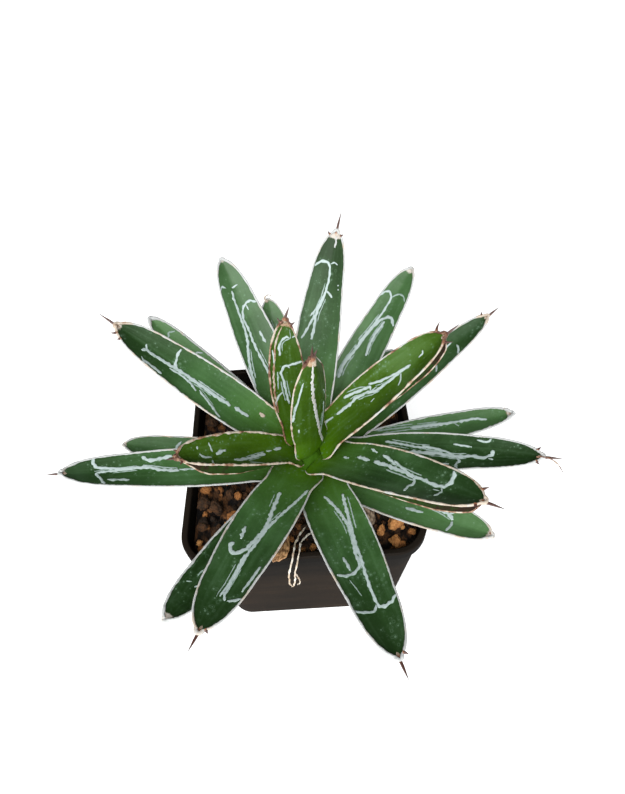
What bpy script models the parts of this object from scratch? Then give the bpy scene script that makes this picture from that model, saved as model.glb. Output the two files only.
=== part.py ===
"""Small white-marked agave in a square black nursery pot.

One living rosette on a short stem, planted in granular soil.
Metres, +Z up.  The origin is the centre of the pot's underside, which rests on the
surface; +X is to the right and +Y is away from someone who stands in front of the pot.
"""
from collections import namedtuple
from math import atan2, cos, degrees, pi, radians, sin, tau

import bmesh
import bpy
import numpy as np
from mathutils import Matrix, Vector, noise

# ------------------------------------------------------------------ driving dimensions
MM = 0.001

RIM_SIDE = 0.090            # across the lip, side to side
POT_HEIGHT = 0.080
BASE_SIDE = 0.077
CORNER_RADIUS = 0.013       # outer corner of the lip
WALL = 0.0012
FLOOR = 0.0016
LIP_HEIGHT = 0.0058
LIP_OVERHANG = 0.0012       # how far the lip stands out from the wall below it
LIP_SOFTENING = 0.0006      # bevel of the lip's outer edges
FOOT_BEVEL = 0.0012         # bevel round the underside
BASE_CORNER = 0.8           # corner radius at the base, as a share of that at the top
DRAIN_DIAMETER = 0.0085
DRAIN_INSET = 0.016         # from the side of the pot's base to a drain hole's centre
DRAIN_FACETS = 16
CORNER_STEPS = 4            # straight facets round each corner
SIDE_POINTS = 2             # points along each straight side

SOIL_DROP = 0.0075          # from the top of the lip down to the soil
SOIL_LUMP = 0.0009          # height of the soil's lumps
SOIL_LUMP_SPAN = 0.006      # size of a lump across
SOIL_RINGS = (0.12, 0.3, 0.5, 0.7, 0.88)  # rings on the soil, as shares from edge to stem
CLEARANCE = 0.0003          # between pieces that touch

PLANT_X = 0.0030            # where the stem stands, off the middle of the pot
PLANT_Y = -0.0055
STEM_RADIUS = 0.0052        # at the soil
STEM_TIP_RADIUS = 0.0018
STEM_ABOVE_SOIL = 0.0210
ROOT_DEPTH = 0.040
ROOT_RADIUS = 0.0115        # root ball, at its widest
ROOT_SWELL = 0.7            # below 1 the root ball is widest above its middle
ROOT_END_RADIUS = 0.0012
# Depths at which the root ball and its hollow are shaped, as shares of ROOT_DEPTH.
ROOT_LEVELS = (0.08, 0.2, 0.36, 0.54, 0.72, 0.88, 1.0)
# Sections of the stem: share of its height, and share of the cone's radius there.
STEM_LEVELS = ((0.0, 1.0), (0.35, 1.0), (0.7, 1.0), (0.95, 1.0), (1.0, 0.6))

LEAF_FIRST_HEIGHT = 0.0026  # height of the lowest leaf's foot above the soil
LEAF_STEP = 0.00085         # from each leaf's foot up to the next younger one's
LEAF_THICKNESS = 0.0025     # at the foot of a full-size blade
LEAF_THINNEST = 0.4         # thickness of the narrowest leaf, as a share of a full-size one's
LEAF_WIDTH = 0.0195         # of a full-size blade
SPINE_LENGTH = 0.0065       # of a whole end spine
SPINE_RADIUS = 0.00075
# Sections of the end spine: share of its length, and share of its radius there.
SPINE_LEVELS = ((0.25, 1.0), (0.6, 0.6))

# One row for each leaf, oldest (lowest) first.  Angles in degrees, blade in millimetres.
# azimuth: where the leaf points; rise: its slope at the foot, above a line from the lowest
# leaf's foot over the pot's lip; bend: slope gained by the tip; sweep: turn to the left by
# the tip; share: width as a share of LEAF_WIDTH; taper: width lost toward the tip, as a
# share; hollow: how deep the upper face is channelled; spine: length of its end spine as a
# share of SPINE_LENGTH, short where the spine has broken off.
LeafRow = namedtuple("LeafRow", "azimuth rise bend sweep length share taper hollow spine")
LEAVES = (
    LeafRow(51, 3.8, 8, 0, 57, 0.80, 0.10, 0.20, 0.15),
    LeafRow(173, 1.8, 4, 0, 68, 0.80, 0.10, 0.20, 0.15),
    LeafRow(329, -0.2, 4, 0, 67, 0.85, 0.05, 0.20, 0.15),
    LeafRow(232, 1.8, 6, 0, 72, 0.85, 0.00, 0.20, 0.15),
    LeafRow(137, 7.8, 10, 0, 86, 0.78, 0.10, 0.20, 0.15),
    LeafRow(5, 7.8, -4, 0, 75, 0.78, 0.15, 0.20, 0.15),
    LeafRow(188, 7.8, 4, 0, 85, 0.88, 0.05, 0.20, 0.80),
    LeafRow(102, 15.8, 10, 0, 65, 0.72, 0.00, 0.20, 0.15),
    LeafRow(29, 11.8, 8, 0, 85, 0.80, 0.20, 0.20, 0.90),
    LeafRow(286, 13.8, -4, 0, 81, 1.12, 0.25, 0.20, 1.00),
    LeafRow(113, 17.8, 10, 0, 84, 0.92, 0.10, 0.20, 0.15),
    LeafRow(344, 19.8, -14, 0, 80, 0.88, 0.10, 0.20, 1.00),
    LeafRow(246, 19.8, -12, 0, 77, 1.02, 0.05, 0.20, 1.00),
    LeafRow(56, 13.8, 8, -4, 82, 0.90, 0.15, 0.20, 0.15),
    LeafRow(152, 19.8, 6, 0, 82, 0.97, 0.05, 0.20, 1.00),
    LeafRow(319, 29.8, -10, 0, 73, 0.97, 0.05, 0.22, 1.00),
    LeafRow(82, 29.8, 6, -14, 81, 0.94, 0.15, 0.20, 0.80),
    LeafRow(201, 27.8, 0, 4, 50, 0.80, 0.00, 0.40, 0.30),
    LeafRow(14, 37.8, 0, 0, 64, 0.95, 0.05, 0.28, 0.80),
    LeafRow(122, 55.8, 14, -60, 51, 0.58, 0.00, 0.35, 0.45),
    LeafRow(316, 77.8, 6, 0, 54, 0.58, 0.00, 0.40, 0.50),
)

# Outline of a blade: share of its length, and half width as a share of the widest half width.
OUTLINE_AT = (0.0, 0.07, 0.17, 0.32, 0.46, 0.60, 0.73, 0.84, 0.92, 0.97, 1.0)
OUTLINE_HALF = (0.38, 0.62, 0.85, 0.97, 1.0, 0.96, 0.86, 0.71, 0.53, 0.34, 0.14)
CLASP_SHARE = 0.2           # over this share of the blade the channel fades in from the foot
THINNING = 0.62             # thickness lost from the foot to the blade's end
# A section through the blade: place across it, and whether the point is on the underside.
SECTION = ((-1.0, 0), (-0.55, 0), (0.0, 0), (0.55, 0), (1.0, 0), (0.6, 1), (0.0, 1), (-0.6, 1))

# Grains that lie loose on the soil: place from the pot's middle and size, in millimetres.
GrainRow = namedtuple("GrainRow", "x y size tone")
GRAINS = (
    GrainRow(34.8, -31.8, 7.6, "orange"),
    GrainRow(32.6, -38.2, 5.6, "orange"),
    GrainRow(28.2, -33.4, 4.2, "orange"),
    GrainRow(39.6, -34.6, 3.4, "orange"),
    GrainRow(-38.6, -12.0, 4.8, "orange"),
    GrainRow(-38.4, -18.6, 6.6, "brown"),
    GrainRow(-33.6, -20.0, 6.4, "brown"),
    GrainRow(-38.6, -27.6, 5.4, "brown"),
    GrainRow(-39.2, -34.0, 3.2, "pale"),
    GrainRow(-33.2, -29.0, 4.6, "brown"),
    GrainRow(-28.4, -14.6, 5.0, "brown"),
    GrainRow(-27.0, -24.6, 5.2, "orange"),
    GrainRow(8.0, -38.4, 5.0, "brown"),
    GrainRow(15.0, -36.4, 4.6, "orange"),
    GrainRow(-17.0, -38.0, 5.4, "brown"),
    GrainRow(24.0, -38.4, 4.4, "brown"),
    GrainRow(-38.0, 20.0, 5.6, "brown"),
    GrainRow(-33.0, 27.0, 6.2, "brown"),
    GrainRow(-37.6, 33.6, 4.4, "pale"),
    GrainRow(-24.0, 37.4, 5.6, "orange"),
    GrainRow(-8.0, 38.0, 5.0, "brown"),
    GrainRow(9.0, 37.6, 5.8, "brown"),
    GrainRow(25.0, 36.6, 6.4, "orange"),
    GrainRow(37.6, 32.0, 5.2, "brown"),
    GrainRow(38.2, 18.6, 5.6, "orange"),
    GrainRow(38.4, 4.0, 5.0, "brown"),
    GrainRow(38.4, -12.0, 5.4, "brown"),
)
GRAIN_RELIEF = 0.45         # how far a grain's corners stand in or out, as a share
GRAIN_RELIEF_SPAN = 1.3     # the larger, the more corners
GRAIN_VARIETY = 3.7         # step in the relief from each grain to the next
GRAIN_SQUASH = (1.0, 0.82, 0.66)
GRAIN_TURN = 47             # degrees from each grain to the next

# Dry remnants of old leaves, in millimetres.  The fibre and the flake are measured from the
# middle of the front lip's top edge; the scrap from the pot's middle, with its lift.
FIBRE_WIDTH = 0.0008
FIBRE_STEPS = 3             # straight pieces between two points of its route
FIBRE_ROUTE = (
    (0.4, 14.6, -4.9), (-2.8, 8.0, -1.0), (-4.0, 1.6, 1.9), (-5.0, -2.2, 0.6),
    (-6.0, -3.6, -3.6), (-6.2, -4.3, -9.0), (-5.6, -4.7, -12.4),
    (-4.6, -4.7, -12.2), (-4.1, -4.4, -8.6), (-3.9, -3.6, -3.2),
    (-2.9, -2.2, 1.0), (-2.0, 1.4, 2.2), (-1.0, 7.2, -0.6), (2.4, 12.2, -4.6),
)
SCRAP_THICKNESS = 0.0010
SCRAP_OUTLINE = (
    (21.0, -20.6, 0.2), (25.6, -23.8, 0.4), (26.4, -31.0, 0.5), (22.0, -34.0, 0.2),
    (17.4, -27.0, 0.0),
)
FLAKE_OUTLINE = (
    (-5.9, 12.4, -5.0), (-5.4, 6.0, -1.8), (-6.4, 1.6, 0.8), (-10.6, -1.0, 2.0),
    (-12.6, 3.0, 0.6), (-11.8, 11.6, -4.8),
)

# Surface of each stuff: colour and roughness.
SURFACES = {
    "black_plastic": ((0.016, 0.015, 0.015), 0.5),
    "dark_soil": ((0.035, 0.02, 0.012), 0.95),
    "stem_tissue": ((0.30, 0.36, 0.14), 0.6),
    "leaf_skin": ((0.045, 0.14, 0.035), 0.42),
    "orange_grain": ((0.42, 0.17, 0.06), 0.9),
    "brown_grain": ((0.16, 0.075, 0.035), 0.9),
    "pale_grain": ((0.45, 0.38, 0.28), 0.9),
    "dry_leaf": ((0.36, 0.19, 0.08), 0.8),
    "dry_fibre": ((0.70, 0.62, 0.50), 0.7),
}

SOIL_TOP = POT_HEIGHT - SOIL_DROP
LIP_RISE = degrees(atan2(SOIL_DROP - LEAF_FIRST_HEIGHT, 0.5 * RIM_SIDE))


# ------------------------------------------------------------------------- basic shapes
def stem_radius(above_soil):
    """Radius of the stem at a height above the soil: an upright cone."""
    share = min(max(above_soil / STEM_ABOVE_SOIL, 0.0), 1.0)
    return STEM_RADIUS + (STEM_TIP_RADIUS - STEM_RADIUS) * share


def loft(rings, close_start=True, close_end=True):
    """Faces over rings of equal length; an end is closed by a fan to its middle point."""
    around = len(rings[0])
    verts = [tuple(point) for ring in rings for point in ring]
    faces = []
    for level in range(len(rings) - 1):
        low = level * around
        high = low + around
        for k in range(around):
            nxt = (k + 1) % around
            faces.append((low + k, low + nxt, high + nxt, high + k))
    last = (len(rings) - 1) * around
    if close_start:
        verts.append(tuple(np.mean(rings[0], axis=0)))
        hub = len(verts) - 1
        faces += [((k + 1) % around, k, hub) for k in range(around)]
    if close_end:
        verts.append(tuple(np.mean(rings[-1], axis=0)))
        hub = len(verts) - 1
        faces += [(last + k, last + (k + 1) % around, hub) for k in range(around)]
    return verts, faces


def add_object(name, verts, faces, material, smooth_angle=40):
    """A named object from points and faces, with its faces turned outward."""
    mesh = bpy.data.meshes.new(name)
    mesh.from_pydata([Vector(v) for v in verts], [], faces)
    work = bmesh.new()
    work.from_mesh(mesh)
    bmesh.ops.recalc_face_normals(work, faces=work.faces)
    work.to_mesh(mesh)
    work.free()
    mesh.shade_smooth()
    mesh.set_sharp_from_angle(angle=radians(smooth_angle))
    mesh.materials.append(material)
    piece = bpy.data.objects.new(name, mesh)
    bpy.context.scene.collection.objects.link(piece)
    return piece


def make_material(name):
    """The Principled surface of one of the stuffs listed at the top."""
    colour, roughness = SURFACES[name]
    material = bpy.data.materials.new(name)
    material.use_nodes = True
    shader = material.node_tree.nodes["Principled BSDF"]
    shader.inputs["Base Color"].default_value = (*colour, 1.0)
    shader.inputs["Roughness"].default_value = roughness
    return material


# ------------------------------------------------------------------------------ leaves
def leaf_foot(index):
    """Where a leaf leaves the stem: its distance from the axis and its height."""
    above = LEAF_FIRST_HEIGHT + LEAF_STEP * index
    return stem_radius(above - LEAF_THICKNESS) + CLEARANCE, SOIL_TOP + above


def leaf_length(row):
    """Length of a leaf from its foot to the tip of its spine."""
    return row.length * MM + row.spine * SPINE_LENGTH


def leaf_line(index, steps=60):
    """Centre line, direction and turn of a leaf at even steps from foot to spine tip."""
    row = LEAVES[index]
    share = np.linspace(0.0, 1.0, steps + 1)
    rise = np.radians(LIP_RISE + row.rise + row.bend * share)
    turn = np.radians(row.azimuth + row.sweep * share)
    way = np.stack([np.cos(rise) * np.cos(turn), np.cos(rise) * np.sin(turn), np.sin(rise)], 1)
    stride = leaf_length(row) / steps
    path = np.zeros((steps + 1, 3))
    path[1:] = np.cumsum((way[1:] + way[:-1]) * 0.5 * stride, axis=0)
    out, height = leaf_foot(index)
    start = radians(row.azimuth)
    foot = np.array([PLANT_X + out * cos(start), PLANT_Y + out * sin(start), height])
    return share, path + foot, way, turn


def leaf_frames(index, at):
    """Centre, across and up vectors at given distances along a leaf."""
    row = LEAVES[index]
    share, path, way, turn = leaf_line(index)
    wanted = np.asarray(at) / leaf_length(row)
    centre = np.stack([np.interp(wanted, share, path[:, k]) for k in range(3)], 1)
    along = np.stack([np.interp(wanted, share, way[:, k]) for k in range(3)], 1)
    along /= np.linalg.norm(along, axis=1)[:, None]
    heading = np.interp(wanted, share, turn)
    across = np.stack([-np.sin(heading), np.cos(heading), np.zeros_like(heading)], 1)
    return centre, across, np.cross(along, across)


def blade_ring(half, hollow, thickness):
    """Section points (across, up) of the blade: channelled above, keeled below."""
    ring = []
    for place, under in SECTION:
        lift = hollow * half * place * place
        ring.append((place * half, lift - under * thickness * (1.0 - place * place)))
    return ring


def needle_ring(radius, drop):
    """Section points of the round spine, in the same order as the blade's."""
    ring = []
    for k in range(len(SECTION)):
        angle = pi - k * tau / len(SECTION)
        ring.append((radius * cos(angle), radius * sin(angle) - drop))
    return ring


def leaf_rings(index):
    """All section rings of one leaf, foot to spine."""
    row = LEAVES[index]
    blade = row.length * MM
    widest = 0.5 * LEAF_WIDTH * row.share
    full = LEAF_THICKNESS * (LEAF_THINNEST + (1.0 - LEAF_THINNEST) * row.share)
    distances = [blade * share for share in OUTLINE_AT]
    sections = []
    for share, width in zip(OUTLINE_AT, OUTLINE_HALF):
        thickness = full * (1.0 - THINNING * share)
        hollow = row.hollow * min(share / CLASP_SHARE, 1.0)
        half = widest * width * (1.0 - row.taper * share)
        sections.append(blade_ring(half, hollow, thickness))
    for share, radius in SPINE_LEVELS:
        distances.append(blade + (leaf_length(row) - blade) * share)
        sections.append(needle_ring(SPINE_RADIUS * radius, SPINE_RADIUS))
    centre, across, above = leaf_frames(index, distances)
    rings = []
    for place, side, up, section in zip(centre, across, above, sections):
        rings.append([place + side * x + up * y for x, y in section])
    tip, _, tip_up = leaf_frames(index, [leaf_length(row)])
    return rings, tip[0] - tip_up[0] * SPINE_RADIUS


def make_leaf(index, material):
    """One leaf: blade, margin and terminal spine grown as one piece."""
    rings, tip = leaf_rings(index)
    verts, faces = loft(rings, close_end=False)
    verts.append(tuple(tip))
    around = len(SECTION)
    last = (len(rings) - 1) * around
    hub = len(verts) - 1
    faces += [(last + k, last + (k + 1) % around, hub) for k in range(around)]
    return add_object(f"leaf_{index + 1:02d}", verts, faces, material)


# --------------------------------------------------------------------------------- pot
def corner_centre(corner, reach):
    """Centre of one of the four corner arcs, counted to the left from +X +Y."""
    signs = ((1, 1), (-1, 1), (-1, -1), (1, -1))[corner % 4]
    return np.array([signs[0] * reach, signs[1] * reach])


def square_ring(half, radius, height):
    """A square with round corners, level, as points."""
    reach = half - radius
    ring = []
    for corner in range(4):
        centre = corner_centre(corner, reach)
        for step in range(CORNER_STEPS + 1):
            angle = (corner + step / CORNER_STEPS) * pi / 2
            ring.append((*(centre + radius * np.array([cos(angle), sin(angle)])), height))
        last = np.array(ring[-1][:2])
        along = corner_centre(corner + 1, reach) - centre
        for step in range(1, SIDE_POINTS + 1):
            ring.append((*(last + along * step / (SIDE_POINTS + 1)), height))
    return ring


def wall_half(height):
    """Half the outside width of the pot's wall at a height: straight taper."""
    top = 0.5 * RIM_SIDE - LIP_OVERHANG
    return 0.5 * BASE_SIDE + (top - 0.5 * BASE_SIDE) * height / POT_HEIGHT


def corner_at(height):
    """Outer corner radius of the wall at a height, sharper toward the base."""
    share = BASE_CORNER + (1.0 - BASE_CORNER) * height / POT_HEIGHT
    return (CORNER_RADIUS - LIP_OVERHANG) * share


def inner_ring(height, gap):
    """The pot's inside at a height, drawn in by a gap."""
    back = WALL + gap
    return square_ring(wall_half(height) - back, corner_at(height) - back, height)


def make_pot(material):
    """Thin tapered pot with a turned-out lip, a flat floor and corner drain holes."""
    lip_low = POT_HEIGHT - LIP_HEIGHT
    lip_half = 0.5 * RIM_SIDE
    rings = [
        square_ring(wall_half(0) - FOOT_BEVEL, corner_at(0) - FOOT_BEVEL, 0.0),
        square_ring(wall_half(FOOT_BEVEL), corner_at(FOOT_BEVEL), FOOT_BEVEL),
        square_ring(wall_half(lip_low), corner_at(lip_low), lip_low),
        square_ring(lip_half, CORNER_RADIUS, lip_low + LIP_SOFTENING),
        square_ring(lip_half, CORNER_RADIUS, POT_HEIGHT - LIP_SOFTENING),
        square_ring(lip_half - LIP_SOFTENING, CORNER_RADIUS - LIP_SOFTENING, POT_HEIGHT),
        inner_ring(POT_HEIGHT, 0.0),
        inner_ring(FLOOR, 0.0),
    ]
    verts, faces = loft(rings)
    pot = add_object("nursery_pot", verts, faces, material)
    for corner in range(4):
        x, y = corner_centre(corner, 0.5 * BASE_SIDE - DRAIN_INSET)
        bpy.ops.mesh.primitive_cylinder_add(
            vertices=DRAIN_FACETS, radius=0.5 * DRAIN_DIAMETER, depth=4 * FLOOR,
            location=(x, y, 0.5 * FLOOR))
        cutter = bpy.context.active_object
        cutter.name = f"drain_cutter_{corner}"
        cutter.hide_render = True
        cutter.display_type = "WIRE"
        cut = pot.modifiers.new(cutter.name, "BOOLEAN")
        cut.operation = "DIFFERENCE"
        cut.solver = "EXACT"
        cut.object = cutter
    return pot


# ------------------------------------------------------------------------ stem and soil
def root_radius(depth):
    """Radius of the root ball at a depth below the soil's surface."""
    share = depth / ROOT_DEPTH
    swell = sin(pi * share ** ROOT_SWELL)
    body = STEM_RADIUS * (1.0 - share) + (ROOT_RADIUS - 0.5 * STEM_RADIUS) * swell
    return max(body, ROOT_END_RADIUS)


def soil_edge():
    """The soil's outline at its top, just inside the pot's wall."""
    return np.array(inner_ring(SOIL_TOP, CLEARANCE))


def stem_angles():
    """Directions from the stem to the points of the soil's outline."""
    edge = soil_edge()
    return np.arctan2(edge[:, 1] - PLANT_Y, edge[:, 0] - PLANT_X)


def round_ring(radius, height):
    """A level ring round the stem's axis."""
    return [(PLANT_X + radius * cos(angle), PLANT_Y + radius * sin(angle), height)
            for angle in stem_angles()]


def root_ring(depth, gap):
    """A level ring round the root ball, at a depth below the soil's surface."""
    low = SOIL_TOP - depth - (gap if depth == ROOT_DEPTH else 0.0)
    return round_ring(root_radius(depth) + gap, low)


def make_stem(material):
    """Short conical stem with its root ball, in one solid."""
    rings = [root_ring(share * ROOT_DEPTH, 0.0) for share in reversed(ROOT_LEVELS)]
    for share, slim in STEM_LEVELS:
        height = share * STEM_ABOVE_SOIL
        rings.append(round_ring(stem_radius(height) * slim, SOIL_TOP + height))
    verts, faces = loft(rings)
    return add_object("stem_and_roots", verts, faces, material)


def lump(x, y):
    """Height of the soil's lumps at a place."""
    return SOIL_LUMP * noise.noise(Vector((x, y, 0.0)) / SOIL_LUMP_SPAN)


def make_soil(material):
    """Soil that fills the pot, with a lumpy top and a hollow that the roots fill."""
    edge = soil_edge()
    mouth = np.array(root_ring(0.0, CLEARANCE))
    rings = [inner_ring(FLOOR + CLEARANCE, CLEARANCE), edge]
    for share in SOIL_RINGS:
        ring = edge * (1.0 - share) + mouth * share
        ring[:, 2] += [lump(x, y) for x, y, _ in ring]
        rings.append(ring)
    rings.append(mouth)
    rings += [root_ring(share * ROOT_DEPTH, CLEARANCE) for share in ROOT_LEVELS]
    verts, faces = loft(rings)
    return add_object("potting_soil", verts, faces, material)


# ------------------------------------------------------------- grains and dry remnants
def make_grain(number, row, materials):
    """One angular grain that lies on the soil."""
    mesh = bpy.data.meshes.new("grain")
    work = bmesh.new()
    bmesh.ops.create_icosphere(work, subdivisions=1, radius=1.0)
    shift = Vector((GRAIN_VARIETY * number, 0.0, 0.0))
    squash = Vector(GRAIN_SQUASH) * 0.5 * row.size * MM
    for vert in work.verts:
        vert.co *= 1.0 + GRAIN_RELIEF * noise.noise(vert.co * GRAIN_RELIEF_SPAN + shift)
        vert.co *= squash
    lowest = min(vert.co.z for vert in work.verts)
    rest = SOIL_TOP + 0.5 * SOIL_LUMP + CLEARANCE - lowest
    turn = Matrix.Rotation(radians(GRAIN_TURN * number), 4, "Z")
    work.transform(Matrix.Translation((row.x * MM, row.y * MM, rest)) @ turn)
    work.to_mesh(mesh)
    work.free()
    mesh.materials.append(materials[row.tone])
    piece = bpy.data.objects.new(f"{row.tone}_grain_{number + 1:02d}", mesh)
    bpy.context.scene.collection.objects.link(piece)
    return piece


def smooth_path(points, steps):
    """Points along a smooth curve through the given ones (Catmull-Rom)."""
    knots = [2 * points[0] - points[1], *points, 2 * points[-1] - points[-2]]
    path = []
    for k in range(1, len(knots) - 2):
        before, start, end, after = knots[k - 1:k + 3]
        for step in range(steps):
            t = step / steps
            path.append(0.5 * (2 * start + (end - before) * t
                               + (2 * before - 5 * start + 4 * end - after) * t ** 2
                               + (3 * start - before - 3 * end + after) * t ** 3))
    return path + [points[-1]]


def make_fibre(material):
    """A dry leaf-edge fibre: out of the soil, over the front lip, and doubled back."""
    front = -0.5 * RIM_SIDE
    points = [Vector((x * MM, front + y * MM, POT_HEIGHT + z * MM)) for x, y, z in FIBRE_ROUTE]
    curve = bpy.data.curves.new("dry_leaf_fibre", "CURVE")
    curve.dimensions = "3D"
    curve.bevel_depth = 0.5 * FIBRE_WIDTH
    curve.bevel_resolution = 1
    curve.use_fill_caps = True
    path = smooth_path(points, FIBRE_STEPS)
    spline = curve.splines.new("POLY")
    spline.points.add(len(path) - 1)
    for point, place in zip(spline.points, path):
        point.co = (*place, 1.0)
    curve.materials.append(material)
    piece = bpy.data.objects.new("dry_leaf_fibre", curve)
    bpy.context.scene.collection.objects.link(piece)
    return piece


def make_flake(name, outline, thickness, material):
    """A thin flat scrap: an outline of 3-D points, thickened upward."""
    low = [np.array(point) * MM for point in outline]
    across = np.cross(low[1] - low[0], low[2] - low[0])
    across *= np.sign(across[2]) / np.linalg.norm(across)
    high = [point + across * thickness for point in low]
    verts, faces = loft([low, high])
    return add_object(name, verts, faces, material, smooth_angle=20)


def soil_point(x, y, lift):
    """A point a little above the soil, in millimetres."""
    return x, y, (SOIL_TOP + SOIL_LUMP + CLEARANCE) / MM + lift


def make_dry_bits(material):
    """The dead brown leaf scrap and the flake that leans over the front lip."""
    scrap = [soil_point(x, y, lift) for x, y, lift in SCRAP_OUTLINE]
    make_flake("dead_leaf_scrap", scrap, SCRAP_THICKNESS, material)
    front = -0.5 * RIM_SIDE / MM
    lip = POT_HEIGHT / MM
    flake = [(x, front + y, lip + z) for x, y, z in FLAKE_OUTLINE]
    make_flake("dry_leaf_flake", flake, SCRAP_THICKNESS, material)


# --------------------------------------------------------------------------- the model
def clear_scene():
    """Remove whatever objects the scene holds."""
    for piece in list(bpy.data.objects):
        bpy.data.objects.remove(piece, do_unlink=True)


def main():
    """Build every piece of the potted agave."""
    clear_scene()
    make_pot(make_material("black_plastic"))
    make_soil(make_material("dark_soil"))
    make_stem(make_material("stem_tissue"))
    leaf = make_material("leaf_skin")
    for index in range(len(LEAVES)):
        make_leaf(index, leaf)
    grains = {tone: make_material(f"{tone}_grain") for tone in ("orange", "brown", "pale")}
    for number, row in enumerate(GRAINS):
        make_grain(number, row, grains)
    make_dry_bits(make_material("dry_leaf"))
    make_fibre(make_material("dry_fibre"))


if __name__ == "__main__":
    main()
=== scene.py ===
"""The finished look of the potted agave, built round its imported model.

Every leaf is read from its solid as a row of cross sections and rebuilt as a fine surface
with a horny edge, an end spine and raised bud prints.  The pot, the soil, the grains and
the dry remnants are rebuilt in the places that their solids hold.
Lengths are in metres, +Z is up, and the pot stands on the floor at height zero.
"""
import logging
from dataclasses import dataclass
from enum import Enum
from math import cos, pi, radians, sin, tau
from typing import Optional, Sequence, Union

import bmesh
import bpy
import numpy as np
from mathutils import Matrix, Vector

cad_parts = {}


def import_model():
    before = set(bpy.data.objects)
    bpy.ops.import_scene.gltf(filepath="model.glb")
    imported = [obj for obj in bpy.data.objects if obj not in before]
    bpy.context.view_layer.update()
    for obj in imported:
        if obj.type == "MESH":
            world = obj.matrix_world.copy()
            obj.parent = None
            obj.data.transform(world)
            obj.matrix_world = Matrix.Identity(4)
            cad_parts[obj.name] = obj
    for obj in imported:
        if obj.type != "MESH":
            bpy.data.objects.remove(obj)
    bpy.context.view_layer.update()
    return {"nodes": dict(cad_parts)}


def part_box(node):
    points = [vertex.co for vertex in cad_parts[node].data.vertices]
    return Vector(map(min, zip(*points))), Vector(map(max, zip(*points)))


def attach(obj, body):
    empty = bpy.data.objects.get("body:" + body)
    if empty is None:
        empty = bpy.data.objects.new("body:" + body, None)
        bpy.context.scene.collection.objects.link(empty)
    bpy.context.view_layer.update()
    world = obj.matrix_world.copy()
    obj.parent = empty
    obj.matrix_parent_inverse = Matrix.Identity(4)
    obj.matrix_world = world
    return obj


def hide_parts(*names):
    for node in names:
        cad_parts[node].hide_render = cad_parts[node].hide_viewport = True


MM = 0.001
WAVES = 6               # sines in a wander
TUBE_POINTS = 10        # round a free tube
LOG = logging.getLogger("agave")
Number = Union[int, float]
Colour = tuple[float, float, float]


# --------------------------------------------------------------------------- mathematics
def smooth_through(at: Sequence[float], values: Sequence, where: np.ndarray) -> np.ndarray:
    """Read a smooth curve that passes through given values.

    Between two knots the curve is the cubic that has at each knot the slope of the chord
    through its two neighbours.

    Args:
        at: the knots, rising.
        values: one value or one row of values for each knot.
        where: the places to read, inside the knots.

    Returns:
        One row for each place.
    """
    knots = np.asarray(at, float)
    rows = np.asarray(values, float)
    flat = rows.ndim == 1
    rows = rows[:, None] if flat else rows
    gaps = np.diff(knots)[:, None]
    chords = np.diff(rows, axis=0) / gaps
    slopes = np.empty_like(rows)
    slopes[0], slopes[-1] = chords[0], chords[-1]
    slopes[1:-1] = (chords[1:] * gaps[:-1] + chords[:-1] * gaps[1:]) / (gaps[1:] + gaps[:-1])
    k = np.clip(np.searchsorted(knots, where, side="right") - 1, 0, len(knots) - 2)
    gap = gaps[k]
    t = (np.asarray(where, float) - knots[k])[:, None] / gap
    out = (rows[k] * (2 * t**3 - 3 * t**2 + 1) + slopes[k] * gap * (t**3 - 2 * t**2 + t)
           + rows[k + 1] * (3 * t**2 - 2 * t**3) + slopes[k + 1] * gap * (t**3 - t**2))
    return out[:, 0] if flat else out


def unit(rows: np.ndarray) -> np.ndarray:
    """Scale each row to length one.

    Args:
        rows: vectors, one in each row.

    Returns:
        The same directions at length one.
    """
    return rows / np.maximum(np.linalg.norm(rows, axis=-1, keepdims=True), 1e-12)


def ramp(low: float, high: float, x: np.ndarray) -> np.ndarray:
    """Rise smoothly from 0 at low to 1 at high.

    Args:
        low: where the rise starts.
        high: where it ends.
        x: the places to read.

    Returns:
        The height of the rise at each place.
    """
    t = np.clip((x - low) / (high - low), 0.0, 1.0)
    return t * t * (3 - 2 * t)


def wobble(x: np.ndarray, seed: int) -> np.ndarray:
    """Wander smoothly about zero: a sum of sines of random pitch and phase.

    Args:
        x: places, where about one unit apart the value is a new one.
        seed: which wander.

    Returns:
        Values mostly between -1 and 1.
    """
    rng = np.random.default_rng(seed)
    pitch = rng.uniform(1.2, 5.5, WAVES)
    phase = rng.uniform(0.0, tau, WAVES)
    return np.sin(np.asarray(x)[..., None] * pitch + phase).sum(-1) / np.sqrt(WAVES)


def route(points: Sequence[Sequence[float]], spacing: float) -> np.ndarray:
    """Even points along a smooth curve through given ones.

    Args:
        points: the points that the curve passes through.
        spacing: the distance between two points of the result.

    Returns:
        The points, one in each row.
    """
    knots = np.asarray(points, float)
    at = np.concatenate([[0.0], np.cumsum(np.linalg.norm(np.diff(knots, axis=0), axis=1))])
    count = max(int(at[-1] / spacing), 4) + 1
    return smooth_through(at, knots, np.linspace(0.0, at[-1], count))


# ------------------------------------------------------------------------------ surfaces
@dataclass
class Shell:
    """One closed surface, with a value for its finish at every point.

    Args:
        points: the points, one in each row.
        faces: quads, and triangles given as quads whose last two corners are the same.
        mark: three numbers for each point, which its finish reads.
        stuff: the index of its finish in the piece.
    """

    points: np.ndarray
    faces: np.ndarray
    mark: np.ndarray
    stuff: int = 0

    def outward(self) -> "Shell":
        """Turn all faces outward, if the surface as a whole looks inward.

        Returns:
            The shell itself.
        """
        a, b, c, d = (self.points[self.faces[:, k]] for k in range(4))
        volume = (np.cross(a, b) * c).sum() + (np.cross(a, c) * d).sum()
        if volume < 0:
            self.faces = self.faces[:, ::-1].copy()
            fans = self.faces[:, 0] == self.faces[:, 1]
            self.faces[fans] = self.faces[fans][:, [1, 2, 3, 3]]
        return self


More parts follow.
